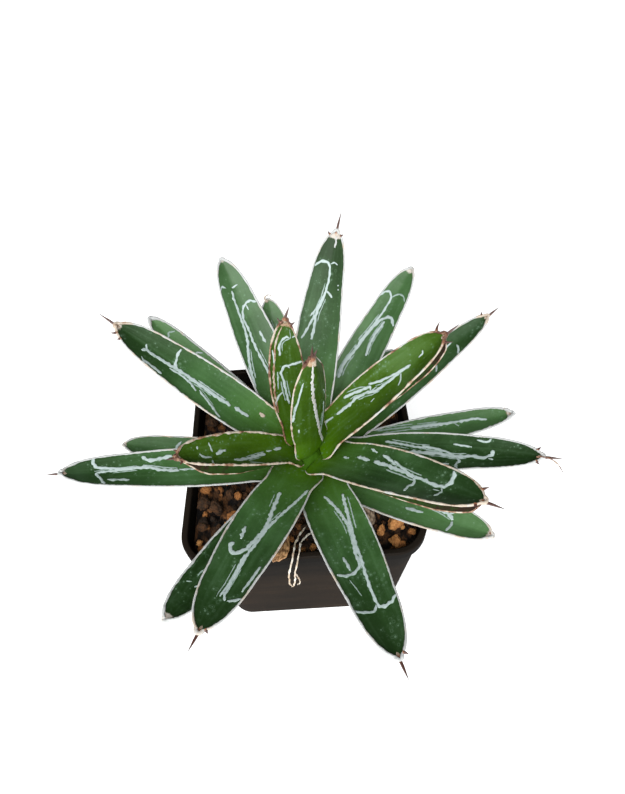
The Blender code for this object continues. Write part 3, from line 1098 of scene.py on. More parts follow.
@dataclass
class Leaf:
    """One leaf: blade, horny margins, end spine, side teeth and bud prints.

    Args:
        node: the solid that it replaces.
        strokes: the lines on it.
        teeth: its side teeth.
        spine: length of its end spine in millimetres; a broken one is a stub.
        tan: how tanned its horn is, from 0 to 1.
        edges: widths of the left and the right margin, in millimetres.
        ragged: how uneven its margins are, as a share of their width.
        cap: share of the blade at which the horny cap begins.
        swell: how much wider than its solid it is, as a share.
        reach: length of the end spine over that of its solid.
        kind: its age.
        light: how light its green is, from 0 to 1.
        folds: strips of its underside that show.
        threads: dry hairs at its tip.
    """

    node: str
    strokes: tuple[Stroke, ...] = ()
    teeth: tuple[Tooth, ...] = ()
    spine: float = 0.975
    tan: float = 0.1
    edges: tuple[float, float] = (0.75, 0.75)
    ragged: float = 0.2
    cap: float = 0.994
    swell: float = 0.0
    reach: float = 1.0
    kind: Age = Age.GROWN
    light: float = 0.5
    folds: tuple[Fold, ...] = ()
    threads: tuple[Thread, ...] = ()

    ALONG = 130             # rings along the blade
    ACROSS = 27             # points over one face of it
    TIP_STEPS = 22          # points of the margin round the tip
    ROUND = 12              # points round the margin
    FOLD_STEPS = 90         # rings along a strip of underside
    SPINE_STEPS = 40        # rings along the end spine
    TOOTH_STEPS = 14        # rings along a side tooth
    PRINT_LIFT = 0.00010    # height of a line over the blade
    PRINT_SINK = 0.00012    # depth of its two edges below the blade
    PRINT_SPREAD = 1.45     # width that a line is drawn with, over its stated width
    PLACES = (1.0, 0.86, 0.45, 0.0, -0.45, -0.86, -1.0)     # points across a line
    STEP = 0.0005           # between two points of a margin
    LINE_STEP = STEP * 0.8  # between two points of a line
    WANDER = 0.0035         # length over which the width of a margin changes
    LINE_WANDER = 0.0016    # length over which the sides of a line wander

    @property
    def seed(self) -> int:
        """Give the leaf's number, which seeds its small irregularities."""
        return int(self.node[-2:])

    def build(self, form: LeafForm, finishes: Sequence[bpy.types.Material]) -> bpy.types.Object:
        """Make the leaf.

        Args:
            form: the shape of the leaf's solid.
            finishes: its materials, in the order of Stuff.

        Returns:
            The object.
        """
        shells = [self.blade(form), self.margin(form)]
        strokes = self.strokes + self.echoes()
        shells += [self.line(form, stroke, k) for k, stroke in enumerate(strokes)]
        shells += [self.tooth(form, tooth) for tooth in self.teeth]
        for fold in self.folds:
            shells += self.fold(form, fold)
        shells += [self.thread(form, thread) for thread in self.threads]
        if self.spine > 1.0:
            shells.append(self.end_spine(form))
        return build_piece(self.node.replace("leaf", "agave_leaf"), shells, finishes,
                           [self.node])

    def fold(self, form: LeafForm, fold: Fold) -> list[Shell]:
        """Make one strip of underside and the horny line along it.

        Args:
            form: the shape of the leaf's solid.
            fold: its place and size.

        Returns:
            The closed strip and the closed line.
        """
        u = np.linspace(fold.start, 0.999, self.FOLD_STEPS)
        middle, left, up, half, _, _ = form.section(u)
        out = left * fold.side
        down = unit(out * 0.3 - up)
        wide = fold.width * MM / 2 * ramp(fold.start, fold.full, u) * ramp(1.01, fold.end, u)
        wide = wide + 0.1 * MM
        root = middle + out * (half - 0.4 * MM)[:, None]
        ahead = unit(np.gradient(middle, axis=0))
        mark = np.stack([u, u * 0 + 0.5, u * 0], -1)
        strip = swept(root + down * wide[:, None], down, np.cross(ahead, down), wide,
                      np.full(len(u), 0.4 * MM), mark, Stuff.UNDER.value, 20)
        edge = root + down * (2 * wide)[:, None]
        tone = fold.tan + 0.25 * wobble(u * 30, self.seed + 5)
        line = tube(edge, 0.3 * MM * ramp(0.35, 0.8, u) + 0.03 * MM, np.stack([u, u, tone], -1),
                    Stuff.HORN.value, np.cross(ahead, down)[0])
        return [strip, line]

    def thread(self, form: LeafForm, thread: Thread) -> Shell:
        """Make one dry hair.

        Args:
            form: the shape of the leaf's solid.
            thread: its course and width.

        Returns:
            A closed tube.
        """
        middle, left, up, _, _, _ = form.section(np.array([0.98, 1.0]))
        axes = np.stack([unit(middle[1] - middle[0]), left[1], up[1]])
        path = middle[1] + route(np.array(thread.path) * MM, 0.0003) @ axes
        t = np.linspace(0.0, 1.0, len(path))
        radius = thread.width * MM / 2 * (1 - 0.75 * t) * (1 + 0.2 * wobble(t * 12, self.seed))
        return tube(path, radius, np.stack([t, t, t * 0 + thread.tan], -1), Stuff.HORN.value, up[1])

    def echoes(self) -> tuple[Stroke, ...]:
        """Give faint thin streaks that run beside the longer prints.

        Returns:
            One streak or two for each print that runs along the blade.
        """
        rng = np.random.default_rng(self.seed + 900)
        found = []
        for stroke in self.strokes:
            at = np.array(stroke.path)
            if stroke.horn >= 0 or np.ptp(at[:, 0]) < 0.14:
                continue
            for side in (-1, 1)[:rng.integers(1, 3)]:
                low = at[:, 0].min() + rng.uniform(0.0, 0.4) * np.ptp(at[:, 0])
                u = np.linspace(low, low + rng.uniform(0.08, 0.2), 4)
                order = np.argsort(at[:, 0])
                v = np.interp(u, at[order, 0], at[order, 1]) + side * rng.uniform(0.10, 0.17)
                path = tuple(zip(u.tolist(), np.clip(v, -0.9, 0.9).tolist()))
                found.append(Stroke(path, float(rng.uniform(0.22, 0.42)), stroke.under,
                                    faint=float(rng.uniform(0.25, 0.6))))
        return tuple(found)

    def blade(self, form: LeafForm) -> Shell:
        """Make the fleshy blade.

        Args:
            form: the shape of the leaf's solid.

        Returns:
            A closed surface.
        """
        u = np.sin(np.linspace(0.0, pi / 2, self.ALONG)) ** 1.15
        turn = np.linspace(0.0, pi, self.ACROSS)
        v = np.concatenate([np.cos(turn), -np.cos(turn)[1:-1]])
        under = np.arange(len(v)) >= self.ACROSS
        grid_u, grid_v = np.repeat(u, len(v)), np.tile(v, len(u))
        points = form.surface(grid_u, grid_v, np.tile(under, len(u)))
        mark = np.stack([grid_u / self.cap, grid_v, np.full_like(grid_u, self.light)], -1)
        return lofted(points.reshape(len(u), len(v), 3), mark.reshape(len(u), len(v), 3),
                      Stuff.SKIN.value)

    def margin(self, form: LeafForm) -> Shell:
        """Make the horny margin: up one side, round the tip and down the other.

        Args:
            form: the shape of the leaf's solid.

        Returns:
            A closed tube of uneven width.
        """
        side_steps = max(int(form.length / self.STEP), 8)
        u = np.linspace(0.0, 1.0, side_steps)
        middle, left, up, half, _, _ = form.section(u)
        ahead = unit(np.gradient(middle, axis=0))
        bend = np.linspace(0.0, pi, self.TIP_STEPS + 2)[1:-1]
        round_out = left[-1] * np.cos(bend)[:, None] + ahead[-1] * np.sin(bend)[:, None]
        path = np.concatenate([middle + left * half[:, None], middle[-1] + round_out * half[-1],
                               (middle - left * half[:, None])[::-1]])
        out = np.concatenate([left, round_out, -left[::-1]])
        rise = np.concatenate([up, np.repeat(up[-1:], self.TIP_STEPS, 0), up[::-1]])
        at = np.concatenate([u, np.ones(self.TIP_STEPS), u[::-1]])
        share = np.linspace(0.0, 1.0, len(path))
        width = np.interp(share, [0.0, 0.42, 0.58, 1.0], np.repeat(self.edges, 2)) * MM / 2
        run = at * form.length / self.WANDER
        uneven = 1 + self.ragged * (wobble(run, self.seed) * 0.6
                                    + wobble(run * 3.1 + share * 40, self.seed + 1) * 0.5)
        width = width * np.clip(uneven, 0.35, 2.2) * 0.8 * (1 + 0.9 * ramp(0.93, 1.0, at))
        width = width * (0.45 + 0.55 * ramp(0.0, 0.12, at))
        high = np.maximum(width * 0.85, 0.22 * MM)
        burn = 0.7 if self.kind is Age.INNER else 0.1
        tone = self.tan + 0.18 * wobble(run * 0.5, self.seed + 2) + burn * ramp(0.93, 0.995, at)
        mark = np.stack([at, share, tone], -1)
        return swept(path - out * (width * 0.55)[:, None], out, rise, width, high, mark,
                     Stuff.HORN.value, self.ROUND)

    def line(self, form: LeafForm, stroke: Stroke, index: int) -> Shell:
        """Make one raised line.

        Its sides wander, and its ends draw in.

        Args:
            form: the shape of the leaf's solid.
            stroke: the line.
            index: its place in the list, for its own wander.

        Returns:
            A closed strip that lies on the blade.
        """
        size = np.array([form.length, float(form.section(np.array([0.5]))[3][0])])
        flat = route(np.array(stroke.path) * size, self.LINE_STEP)
        ahead = unit(np.gradient(flat, axis=0))
        side = np.stack([-ahead[:, 1], ahead[:, 0]], -1)
        steps = np.arange(len(flat))
        run = steps * self.LINE_STEP / self.LINE_WANDER
        ends = np.minimum(steps, steps[::-1]) * self.LINE_STEP
        seed = self.seed * 31 + index * 7
        half = self.PRINT_SPREAD * stroke.width * MM / 2 * (0.55 + 0.45 * ramp(0.0, 0.0012, ends))
        columns = []
        for place in self.PLACES:
            inner = abs(place) < 1
            lift = self.PRINT_LIFT * (1.2 - 0.3 * abs(place)) if inner else -self.PRINT_SINK
            rough = 1 + 0.34 * wobble(run, seed + int(place > 0)) * abs(place)
            at = (flat + side * (half * rough * place)[:, None]) / size
            columns.append(form.surface(np.clip(at[:, 0], 0, 1), np.clip(at[:, 1], -1, 1),
                                        stroke.under, lift))
        tone = stroke.faint if stroke.horn < 0 else 0.0
        edge = np.tile(np.abs(self.PLACES), len(flat))
        tanned = np.full_like(edge, max(stroke.horn, 0.0))
        mark = np.stack([np.full_like(edge, tone), edge, tanned], -1)
        stuff = Stuff.PRINT if stroke.horn < 0 else Stuff.HORN
        return lofted(np.stack(columns, 1), mark.reshape(len(flat), len(self.PLACES), 3), stuff.value)

    def end_spine(self, form: LeafForm) -> Shell:
        """Make the end spine: a horny collar that narrows to a hard point.

        Args:
            form: the shape of the leaf's solid.

        Returns:
            A closed cone with a slight bend.
        """
        _, left, up, _, _, _ = (row[-1] for row in form.section(np.array([0.9, 1.0])))
        channel = form.surface(np.array([0.965, 1.0]), np.zeros(2))
        start = channel[0] - up * 1.0 * MM
        knee = channel[1] - up * 0.5 * MM
        tip = knee + (form.tip - knee) * self.reach
        t = np.linspace(0.0, 1.0, self.SPINE_STEPS) ** 1.1
        whole = float(np.linalg.norm(tip - start))
        reach = float(np.linalg.norm(knee - start)) / whole
        path = smooth_through([0.0, reach, 1.0], [start, knee, tip], t)
        knots = [0.0, reach, reach + (1 - reach) * 0.14, reach + (1 - reach) * 0.5, 1.0]
        wide = smooth_through(knots, [0.4 * MM, 0.95 * MM, 0.62 * MM, 0.40 * MM, 0.03 * MM], t)
        high = smooth_through(knots, [0.3 * MM, 0.70 * MM, 0.55 * MM, 0.36 * MM, 0.03 * MM], t)
        along = (t - reach) / (1 - reach)
        mark = np.stack([along, t, np.zeros_like(t)], -1)
        ahead = unit(np.gradient(path, axis=0))
        side = unit(left - ahead * (ahead @ left)[:, None])
        return swept(path, side, np.cross(ahead, side), wide, high, mark, Stuff.SPINE.value)

    def tooth(self, form: LeafForm, tooth: Tooth) -> Shell:
        """Make one side tooth.

        Args:
            form: the shape of the leaf's solid.
            tooth: its place and size.

        Returns:
            A closed cone that bends toward the tip.
        """
        u = np.array([max(tooth.at - 0.01, 0.0), tooth.at])
        middle, left, up, half, _, _ = form.section(u)
        ahead = unit(np.diff(middle, axis=0))[0]
        out = left[1] * tooth.side
        root = middle[1] + out * (half[1] - 0.45 * MM)
        t = np.linspace(0.0, 1.0, self.TOOTH_STEPS)
        length = tooth.length * MM
        path = root + np.outer(t, out * 0.75 * length + out * 0.4 * MM) + np.outer(
            0.35 * t + 0.55 * t * t, ahead * length) + np.outer(t, up[1] * 0.15 * length)
        radius = (0.62 * (1 - t) ** 0.9 + 0.04) * MM
        mark = np.stack([t * 0.8, t, t * 0], -1)
        return tube(path, radius, mark, Stuff.SPINE.value, up[1])


# --------------------------------------------------------------- the plant's leaves and stem
def mark(width: float, *path: tuple[float, float], **more: Union[float, bool]) -> Stroke:
    """Give one bud print.

    Args:
        width: in millimetres.
        path: points that it passes through.
        more: other facts of the stroke.

    Returns:
        The stroke.
    """
    return Stroke(path, width, **more)


LEAVES = (
    Leaf("leaf_01", (
        mark(0.9, (0.5, 0.3), (0.6, 0.25), (0.7, 0.2), (0.8, 0.1)),
    ), light=0.5, kind=Age.OUTER),
    Leaf("leaf_02", (
        mark(0.8, (0.68, 0.1), (0.7, -0.3), (0.68, -0.7)),
        mark(0.7, (0.5, 0.2), (0.6, 0.1), (0.7, 0.05)),
    ), tan=0.3, light=0.5, kind=Age.OUTER),
    Leaf("leaf_03", (
        mark(1.0, (0.53, -0.2), (0.58, -0.18), (0.63, -0.12)),
        mark(1.3, (0.56, 0.4), (0.62, 0.4), (0.7, 0.35), (0.76, 0.3), (0.79, 0.1)),
        mark(0.8, (0.76, 0.35), (0.79, 0.55)),
        mark(0.8, (0.79, 0.0), (0.79, -0.4), (0.78, -0.75)),
    ), tan=0.3, edges=(0.8, 1.0), cap=0.98, light=0.75, kind=Age.OUTER),
    Leaf("leaf_04", (
        mark(0.6, (0.78, 0.1), (0.81, -0.1)),
        mark(0.5, (0.72, -0.35), (0.76, -0.38), faint=0.6),
        mark(0.5, (0.8, -0.4), (0.815, -0.6), faint=0.6),
    ), tan=0.0, edges=(0.9, 1.0), cap=0.972, ragged=0.25, light=0.02),
    Leaf("leaf_05", (
        mark(0.7, (0.7, -0.35), (0.71, -0.55), (0.69, -0.8)),
        mark(0.8, (0.87, 0.05), (0.885, -0.3), (0.87, -0.75), faint=0.5),
    ), tan=0.0, edges=(1.1, 1.2), light=0.95, kind=Age.OUTER),
    Leaf("leaf_06", (
        mark(1.0, (0.48, 0.6), (0.58, 0.45), (0.68, 0.35), (0.76, 0.3), (0.83, 0.25), (0.87, 0.0)),
        mark(0.5, (0.3, 0.9), (0.4, 0.75), (0.52, 0.6), (0.62, 0.5), faint=0.6),
        mark(0.5, (0.71, 0.2), (0.725, 0.0), faint=0.3),
    ), tan=0.0, edges=(0.9, 1.1), ragged=0.35, cap=0.975, light=0.6, kind=Age.OUTER),
    Leaf("leaf_07", (
        mark(1.0, (0.52, 0.05), (0.6, -0.05), (0.66, -0.2), (0.72, -0.2), (0.78, -0.22), (0.83, -0.28),
             (0.86, -0.35), (0.88, -0.6), (0.88, -0.95)),
        mark(0.8, (0.66, -0.2), (0.75, -0.15), (0.82, -0.08), (0.865, 0.0), (0.85, 0.4), (0.83, 0.85)),
        mark(1.1, (0.55, -0.7), (0.6, -0.6), (0.65, -0.55), (0.68, -0.75)),
        mark(1.0, (0.73, 0.52), (0.82, 0.5)),
        mark(0.7, (0.38, -0.02), (0.52, 0.0)),
    ), spine=5.2, tan=0.05, edges=(0.9, 0.95), light=0.6),
    Leaf("leaf_08", (
        mark(0.6, (0.6, 0.2), (0.7, 0.1), (0.8, 0.0), faint=0.4),
    ), tan=0.3, edges=(0.6, 0.6), light=0.75, kind=Age.OUTER,
       threads=(Thread(((-1.0, 0.5, 0.0), (0.8, 1.2, 0.8), (1.8, -0.3, 1.0), (0.6, -2.2, 1.0)), 0.9, 0.5),)),
    Leaf("leaf_09", (
        mark(0.7, (0.67, -0.05), (0.67, -0.35), (0.65, -0.7)),
        mark(0.7, (0.81, -0.1), (0.8, -0.5), (0.78, -0.85)),
        mark(0.8, (0.3, 0.3), (0.5, 0.3), (0.7, 0.25), (0.8, 0.3)),
    ), (Tooth(0.985, 1, 1.3),), spine=5.85, tan=0.25, edges=(0.8, 0.9), light=0.6),
    Leaf("leaf_10", (
        mark(0.9, (0.22, 0.62), (0.3, 0.5), (0.38, 0.4), (0.46, 0.3), (0.55, 0.22), (0.65, 0.15),
             (0.75, 0.1), (0.8, 0.15), (0.81, 0.4), (0.805, 0.7), (0.79, 0.93)),
        mark(0.9, (0.19, -0.05), (0.25, 0.1), (0.32, 0.22), (0.4, 0.28), (0.48, 0.22), (0.56, 0.1),
             (0.61, 0.05), (0.635, -0.2), (0.64, -0.5), (0.63, -0.85)),
        mark(0.6, (0.4, 0.4), (0.5, 0.25), (0.6, 0.2)),
        mark(0.7, (0.79, 0.05), (0.81, -0.1), (0.81, -0.5), (0.8, -0.9)),
        mark(0.8, (0.55, -0.35), (0.62, -0.33)),
        mark(0.3, (0.66, -0.5), (0.74, -0.35), faint=0.4),
    ), (Tooth(0.995, 1, 1.2),), spine=6.5, tan=0.0, edges=(0.7, 0.9), light=0.45, cap=1.04),
    Leaf("leaf_11", (
        mark(0.9, (0.34, 0.95), (0.4, 0.85), (0.47, 0.72), (0.53, 0.55), (0.58, 0.38), (0.66, 0.3),
             (0.74, 0.27), (0.84, 0.22)),
        mark(0.8, (0.38, 0.05), (0.46, 0.1), (0.54, 0.15), (0.62, 0.12), (0.69, 0.15), (0.73, 0.0),
             (0.755, -0.3), (0.76, -0.6), (0.74, -0.9)),
        mark(0.8, (0.535, -0.4), (0.6, -0.36)),
        mark(0.6, (0.72, -0.3), (0.75, -0.3)),
        mark(0.6, (0.855, 0.1), (0.86, -0.35)),
        mark(0.6, (0.85, 0.95), (0.87, 0.75), (0.86, 0.5)),
    ), tan=0.0, edges=(0.9, 1.1), light=0.2, kind=Age.OUTER),
    Leaf("leaf_12", (
        mark(0.7, (0.32, 0.65), (0.4, 0.5), (0.47, 0.35), (0.52, 0.3)),
        mark(1.2, (0.44, 0.1), (0.52, 0.05), (0.58, 0.0), (0.65, -0.15), (0.72, -0.1), (0.78, -0.15),
             (0.8, 0.0), (0.81, 0.3)),
        mark(0.7, (0.5, 0.4), (0.56, 0.25), (0.62, 0.05), (0.65, -0.1)),
        mark(0.8, (0.66, -0.2), (0.67, -0.4), (0.66, -0.7), (0.67, -0.95)),
        mark(0.6, (0.64, 0.5), (0.72, 0.4)),
        mark(0.6, (0.56, -0.55), (0.63, -0.6)),
        mark(0.7, (0.74, 0.78), (0.79, 0.75), (0.8, 0.9)),
        mark(0.7, (0.79, -0.2), (0.81, -0.3)),
    ), (Tooth(0.985, 1, 1.4), Tooth(0.98, -1, 1.2)), spine=6.5, tan=0.0, edges=(0.8, 0.9), light=0.1,
       cap=1.03,
       threads=(Thread(((-1.5, -0.6, 0.0), (2.0, -0.8, 0.6),
                        (4.5, -2.4, 0.6), (6.4, -5.2, 0.0)), 0.7, 1.1),)),
    Leaf("leaf_13", (
        mark(1.1, (0.24, -0.15), (0.3, -0.08), (0.37, 0.0), (0.44, 0.1), (0.5, 0.12), (0.56, 0.02),
             (0.62, -0.1), (0.655, -0.35), (0.65, -0.55), (0.61, -0.58)),
        mark(0.9, (0.18, 0.85), (0.25, 0.68), (0.32, 0.5), (0.4, 0.32), (0.47, 0.2), (0.54, 0.15),
             (0.62, 0.08), (0.72, 0.1), (0.8, 0.12), (0.85, 0.2), (0.86, 0.3)),
        mark(0.7, (0.64, 0.0), (0.72, 0.03), (0.8, 0.03), (0.85, 0.0)),
        mark(0.7, (0.86, 0.4), (0.85, 0.75), (0.84, 0.95)),
        mark(0.9, (0.68, 0.78), (0.74, 0.78), (0.81, 0.73)),
        mark(0.9, (0.51, -0.5), (0.58, -0.42)),
    ), (Tooth(0.995, 1, 1.0),), spine=6.5, tan=0.2, edges=(0.8, 0.8), cap=1.03, light=0.5),
    Leaf("leaf_14", (
        mark(1.1, (0.34, 0.55), (0.42, 0.62), (0.5, 0.5), (0.57, 0.42), (0.64, 0.3), (0.69, 0.15),
             (0.72, -0.1), (0.73, -0.35), (0.71, -0.65), (0.69, -0.8)),
        mark(0.8, (0.55, 0.5), (0.62, 0.38), (0.7, 0.28), (0.77, 0.22), (0.83, 0.3), (0.85, 0.55),
             (0.84, 0.8), (0.81, 0.95)),
        mark(0.6, (0.83, 0.25), (0.855, 0.0), (0.86, -0.3), (0.85, -0.6), (0.83, -0.8), faint=0.5),
        mark(1.0, (0.5, -0.15), (0.56, -0.05), (0.63, -0.05), (0.7, -0.15)),
    ), tan=0.1, edges=(0.8, 0.9), cap=0.98, light=0.45, kind=Age.OUTER),
    Leaf("leaf_15", (
        mark(1.1, (0.27, 0.03), (0.32, 0.03), (0.35, 0.02)),
        mark(1.2, (0.37, 0.07), (0.47, 0.08), (0.56, 0.05), (0.64, 0.06), (0.72, 0.1), (0.8, 0.15),
             (0.84, 0.2), (0.85, 0.35)),
        mark(0.7, (0.38, 0.85), (0.44, 0.6), (0.5, 0.4), (0.53, 0.3)),
        mark(0.7, (0.54, 0.42), (0.58, 0.25), (0.62, 0.2), (0.7, 0.25)),
        mark(0.8, (0.66, 0.1), (0.69, -0.1), (0.7, -0.35), (0.71, -0.6), (0.71, -0.85)),
        mark(0.6, (0.81, 0.15), (0.84, 0.05), (0.85, -0.15)),
        mark(1.0, (0.71, 0.78), (0.81, 0.78)),
        mark(0.6, (0.8, 0.9), (0.83, 0.7)),
        mark(1.3, (0.205, -0.42), (0.235, -0.4), horn=0.55),
    ), (Tooth(0.98, 1, 1.9), Tooth(0.95, 1, 1.0)), spine=6.5, tan=0.3, edges=(0.95, 0.95), ragged=0.3,
       cap=0.985, light=0.7, reach=1.25),
    Leaf("leaf_16", (
        mark(0.9, (0.18, 0.25), (0.22, 0.25)),
        mark(1.0, (0.27, 0.37), (0.36, 0.33)),
        mark(1.1, (0.39, 0.33), (0.45, 0.3), (0.51, 0.27), (0.57, 0.2), (0.64, 0.15), (0.7, 0.13),
             (0.78, 0.1), (0.81, 0.15), (0.825, 0.4), (0.83, 0.7), (0.82, 0.9)),
        mark(0.6, (0.33, 0.8), (0.38, 0.7)),
        mark(0.8, (0.42, 0.65), (0.47, 0.55), (0.52, 0.4)),
        mark(0.7, (0.5, 0.55), (0.56, 0.35), (0.62, 0.2)),
        mark(0.8, (0.65, 0.1), (0.67, -0.1), (0.66, -0.4), (0.665, -0.65)),
        mark(0.6, (0.8, 0.05), (0.81, -0.1), (0.8, -0.5)),
        mark(0.6, (0.77, -0.15), (0.8, -0.12)),
    ), (Tooth(0.975, 1, 1.7), Tooth(0.985, -1, 1.4)), spine=6.5, tan=0.5, edges=(0.75, 0.85),
       ragged=0.3, cap=1.0, light=0.25, folds=(Fold(-1, 0.4, 0.85, 0.97, 2.2),)),
    Leaf("leaf_17", (
        mark(0.9, (0.48, 0.3), (0.55, 0.25), (0.62, 0.22), (0.68, 0.05), (0.73, -0.03), (0.8, -0.07),
             (0.85, 0.1), (0.86, 0.35), (0.855, 0.6), (0.83, 0.9)),
        mark(0.7, (0.48, 0.75), (0.53, 0.55), (0.57, 0.4), (0.6, 0.28)),
        mark(0.6, (0.59, 0.5), (0.64, 0.25), (0.7, 0.05)),
        mark(0.9, (0.72, -0.05), (0.71, -0.25), (0.69, -0.4)),
        mark(0.5, (0.85, 0.0), (0.86, -0.25), (0.85, -0.5)),
        mark(0.6, (0.728, -0.72), (0.735, -0.72)),
        mark(0.6, (0.748, -0.7), (0.755, -0.7)),
        mark(1.2, (0.93, -0.1), (0.955, -0.15), (0.985, -0.1), horn=0.0),
    ), (Tooth(0.985, 1, 1.3), Tooth(0.985, -1, 0.9)), spine=5.2, tan=0.15, edges=(0.8, 0.8), cap=0.97,
       light=0.42, reach=1.5),
    Leaf("leaf_18", (
        mark(1.0, (0.13, -0.3), (0.18, -0.22), (0.21, -0.2)),
        mark(0.6, (0.23, -0.15), (0.28, -0.1)),
        mark(1.2, (0.3, 0.05), (0.38, 0.15), (0.46, 0.3), (0.55, 0.38), (0.59, 0.35)),
        mark(0.5, (0.36, 0.9), (0.42, 0.7), (0.48, 0.6), faint=0.4),
        mark(1.1, (0.62, -0.25), (0.66, -0.18), (0.7, -0.1)),
        mark(0.5, (0.72, -0.25), (0.74, -0.7)),
        mark(0.8, (0.74, 0.05), (0.79, -0.05), (0.82, -0.2)),
        mark(0.6, (0.83, -0.45), (0.83, -0.6)),
        mark(0.5, (0.75, 0.3), (0.78, 0.9)),
    ), (Tooth(0.98, 1, 1.5), Tooth(0.985, -1, 1.2)), spine=1.95, tan=0.7, edges=(1.0, 1.0), ragged=0.45,
       cap=0.985, light=0.5, kind=Age.INNER, reach=1.9, folds=(Fold(1, 0.15, 0.72, 0.8, 3.6),)),
    Leaf("leaf_19", (
        mark(0.8, (0.08, 0.55), (0.14, 0.55), (0.18, 0.52)),
        mark(0.9, (0.21, 0.5), (0.3, 0.45), (0.4, 0.4), (0.45, 0.35), (0.49, 0.18), (0.58, 0.1),
             (0.66, 0.08), (0.76, 0.05)),
        mark(0.8, (0.31, 0.8), (0.38, 0.65), (0.46, 0.5), (0.49, 0.4), (0.48, 0.3)),
        mark(0.7, (0.49, 0.55), (0.56, 0.35), (0.64, 0.2), (0.7, 0.1), (0.76, 0.03)),
        mark(0.6, (0.82, 0.08), (0.85, 0.12), (0.86, 0.25)),
        mark(0.6, (0.69, 0.0), (0.67, -0.3), (0.65, -0.45)),
        mark(0.5, (0.45, -0.12), (0.48, -0.1)),
    ), (Tooth(0.98, 1, 3.0), Tooth(0.985, -1, 2.8)), spine=5.2, tan=0.6, edges=(0.7, 0.95), ragged=0.3,
       cap=1.0, light=0.42, kind=Age.INNER, reach=1.2, folds=(Fold(-1, 0.5, 0.85, 0.97, 2.2),)),
    Leaf("leaf_20", (
        mark(0.6, (0.34, 0.95), (0.38, 0.85), (0.42, 0.6), (0.44, 0.35)),
        mark(0.7, (0.33, 0.15), (0.42, 0.2), (0.52, 0.25), (0.6, 0.3), (0.635, 0.15), (0.64, -0.05),
             (0.66, -0.5), (0.69, -0.9)),
        mark(0.6, (0.62, -0.15), (0.64, 0.0)),
        mark(0.5, (0.66, 0.7), (0.72, 0.75), (0.77, 0.85)),
        mark(0.4, (0.47, 0.6), (0.6, 0.5), faint=0.3),
        mark(0.8, (0.72, 0.4), (0.82, 0.4), (0.85, 0.2), (0.86, -0.2)),
        mark(0.4, (0.87, -0.5), (0.9, -0.95)),
        mark(0.55, (0.3, 0.86), (0.5, 0.78), (0.7, 0.7), (0.86, 0.66), (0.94, 0.5), horn=0.8),
    ), (Tooth(0.975, 1, 1.6), Tooth(0.975, -1, 1.6)), spine=2.925, tan=0.9, edges=(0.9, 0.7),
       ragged=0.4, cap=0.95, swell=0.2, reach=1.6, light=0.35, kind=Age.INNER),
    Leaf("leaf_21", (
        mark(0.9, (0.04, 0.45), (0.3, 0.15), (0.6, -0.1), (0.85, -0.25), (0.97, -0.25), under=True,
             horn=0.2),
        mark(0.5, (0.5, -0.95), (0.6, -0.9), (0.7, -0.8), (0.85, -0.7), under=True),
        mark(0.5, (0.36, -0.78), (0.4, -0.78), under=True),
        mark(0.8, (0.2, 0.3), (0.3, 0.42), (0.4, 0.5), (0.5, 0.55), under=True),
        mark(0.4, (0.55, 0.7), (0.62, 0.6), under=True),
    ), (Tooth(0.98, 1, 1.9), Tooth(0.98, -1, 1.7)), spine=3.25, tan=0.6, edges=(0.9, 0.8), ragged=0.4,
       cap=0.955, swell=0.55, reach=1.9, light=0.4, kind=Age.INNER),
)


@dataclass
class Stem:
    """Short stem with a root ball under the soil.

    Args:
        node: its solid.
        soil_top: height of the soil.
        thick: radius of the stem at the soil.
        ball: radius of the root ball.
        crown: radius of the crown that the leaf bases make round the stem.
    """

    node: str
    soil_top: float
    thick: float = 0.0060
    ball: float = 0.0115
    crown: float = 0.0086

    LEVELS = 90             # rings from the roots' end to the top
    AROUND = 48             # points round the stem

    def build(self, finish: bpy.types.Material) -> bpy.types.Object:
        """Make the stem.

        Its radius is a smooth curve through a few values from the roots' end to the top.

        Args:
            finish: its material.

        Returns:
            The object.
        """
        low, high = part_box(self.node)
        x, y = (low.x + high.x) / 2, (low.y + high.y) / 2
        heights = np.linspace(low.z, high.z, self.LEVELS)
        soil = self.soil_top
        rise = high.z - soil
        radius = smooth_through(
            [low.z, low.z + 0.3 * (soil - low.z), low.z + 0.75 * (soil - low.z), soil,
             soil + 0.3 * rise, soil + 0.7 * rise, high.z],
            [0.001, 0.8 * self.ball, 0.8 * self.ball, self.thick, self.crown, 0.8 * self.crown,
             0.0013], heights)
        turn = np.linspace(0.0, tau, self.AROUND, endpoint=False)
        ridges = 1 + 0.05 * np.sin(5 * turn[None] + heights[:, None] * 900) + 0.03 * np.sin(
            11 * turn[None] - heights[:, None] * 1500)
        rings = np.stack([x + radius[:, None] * ridges * np.cos(turn),
                          y + radius[:, None] * ridges * np.sin(turn),
                          np.repeat(heights[:, None], self.AROUND, 1)], -1)
        above = ramp(soil - 0.001, soil + 0.004, rings[..., 2])
        mark = np.stack([above, above * 0, above * 0], -1)
        return build_piece("short_stem", [lofted(rings, mark)], [finish], [self.node])


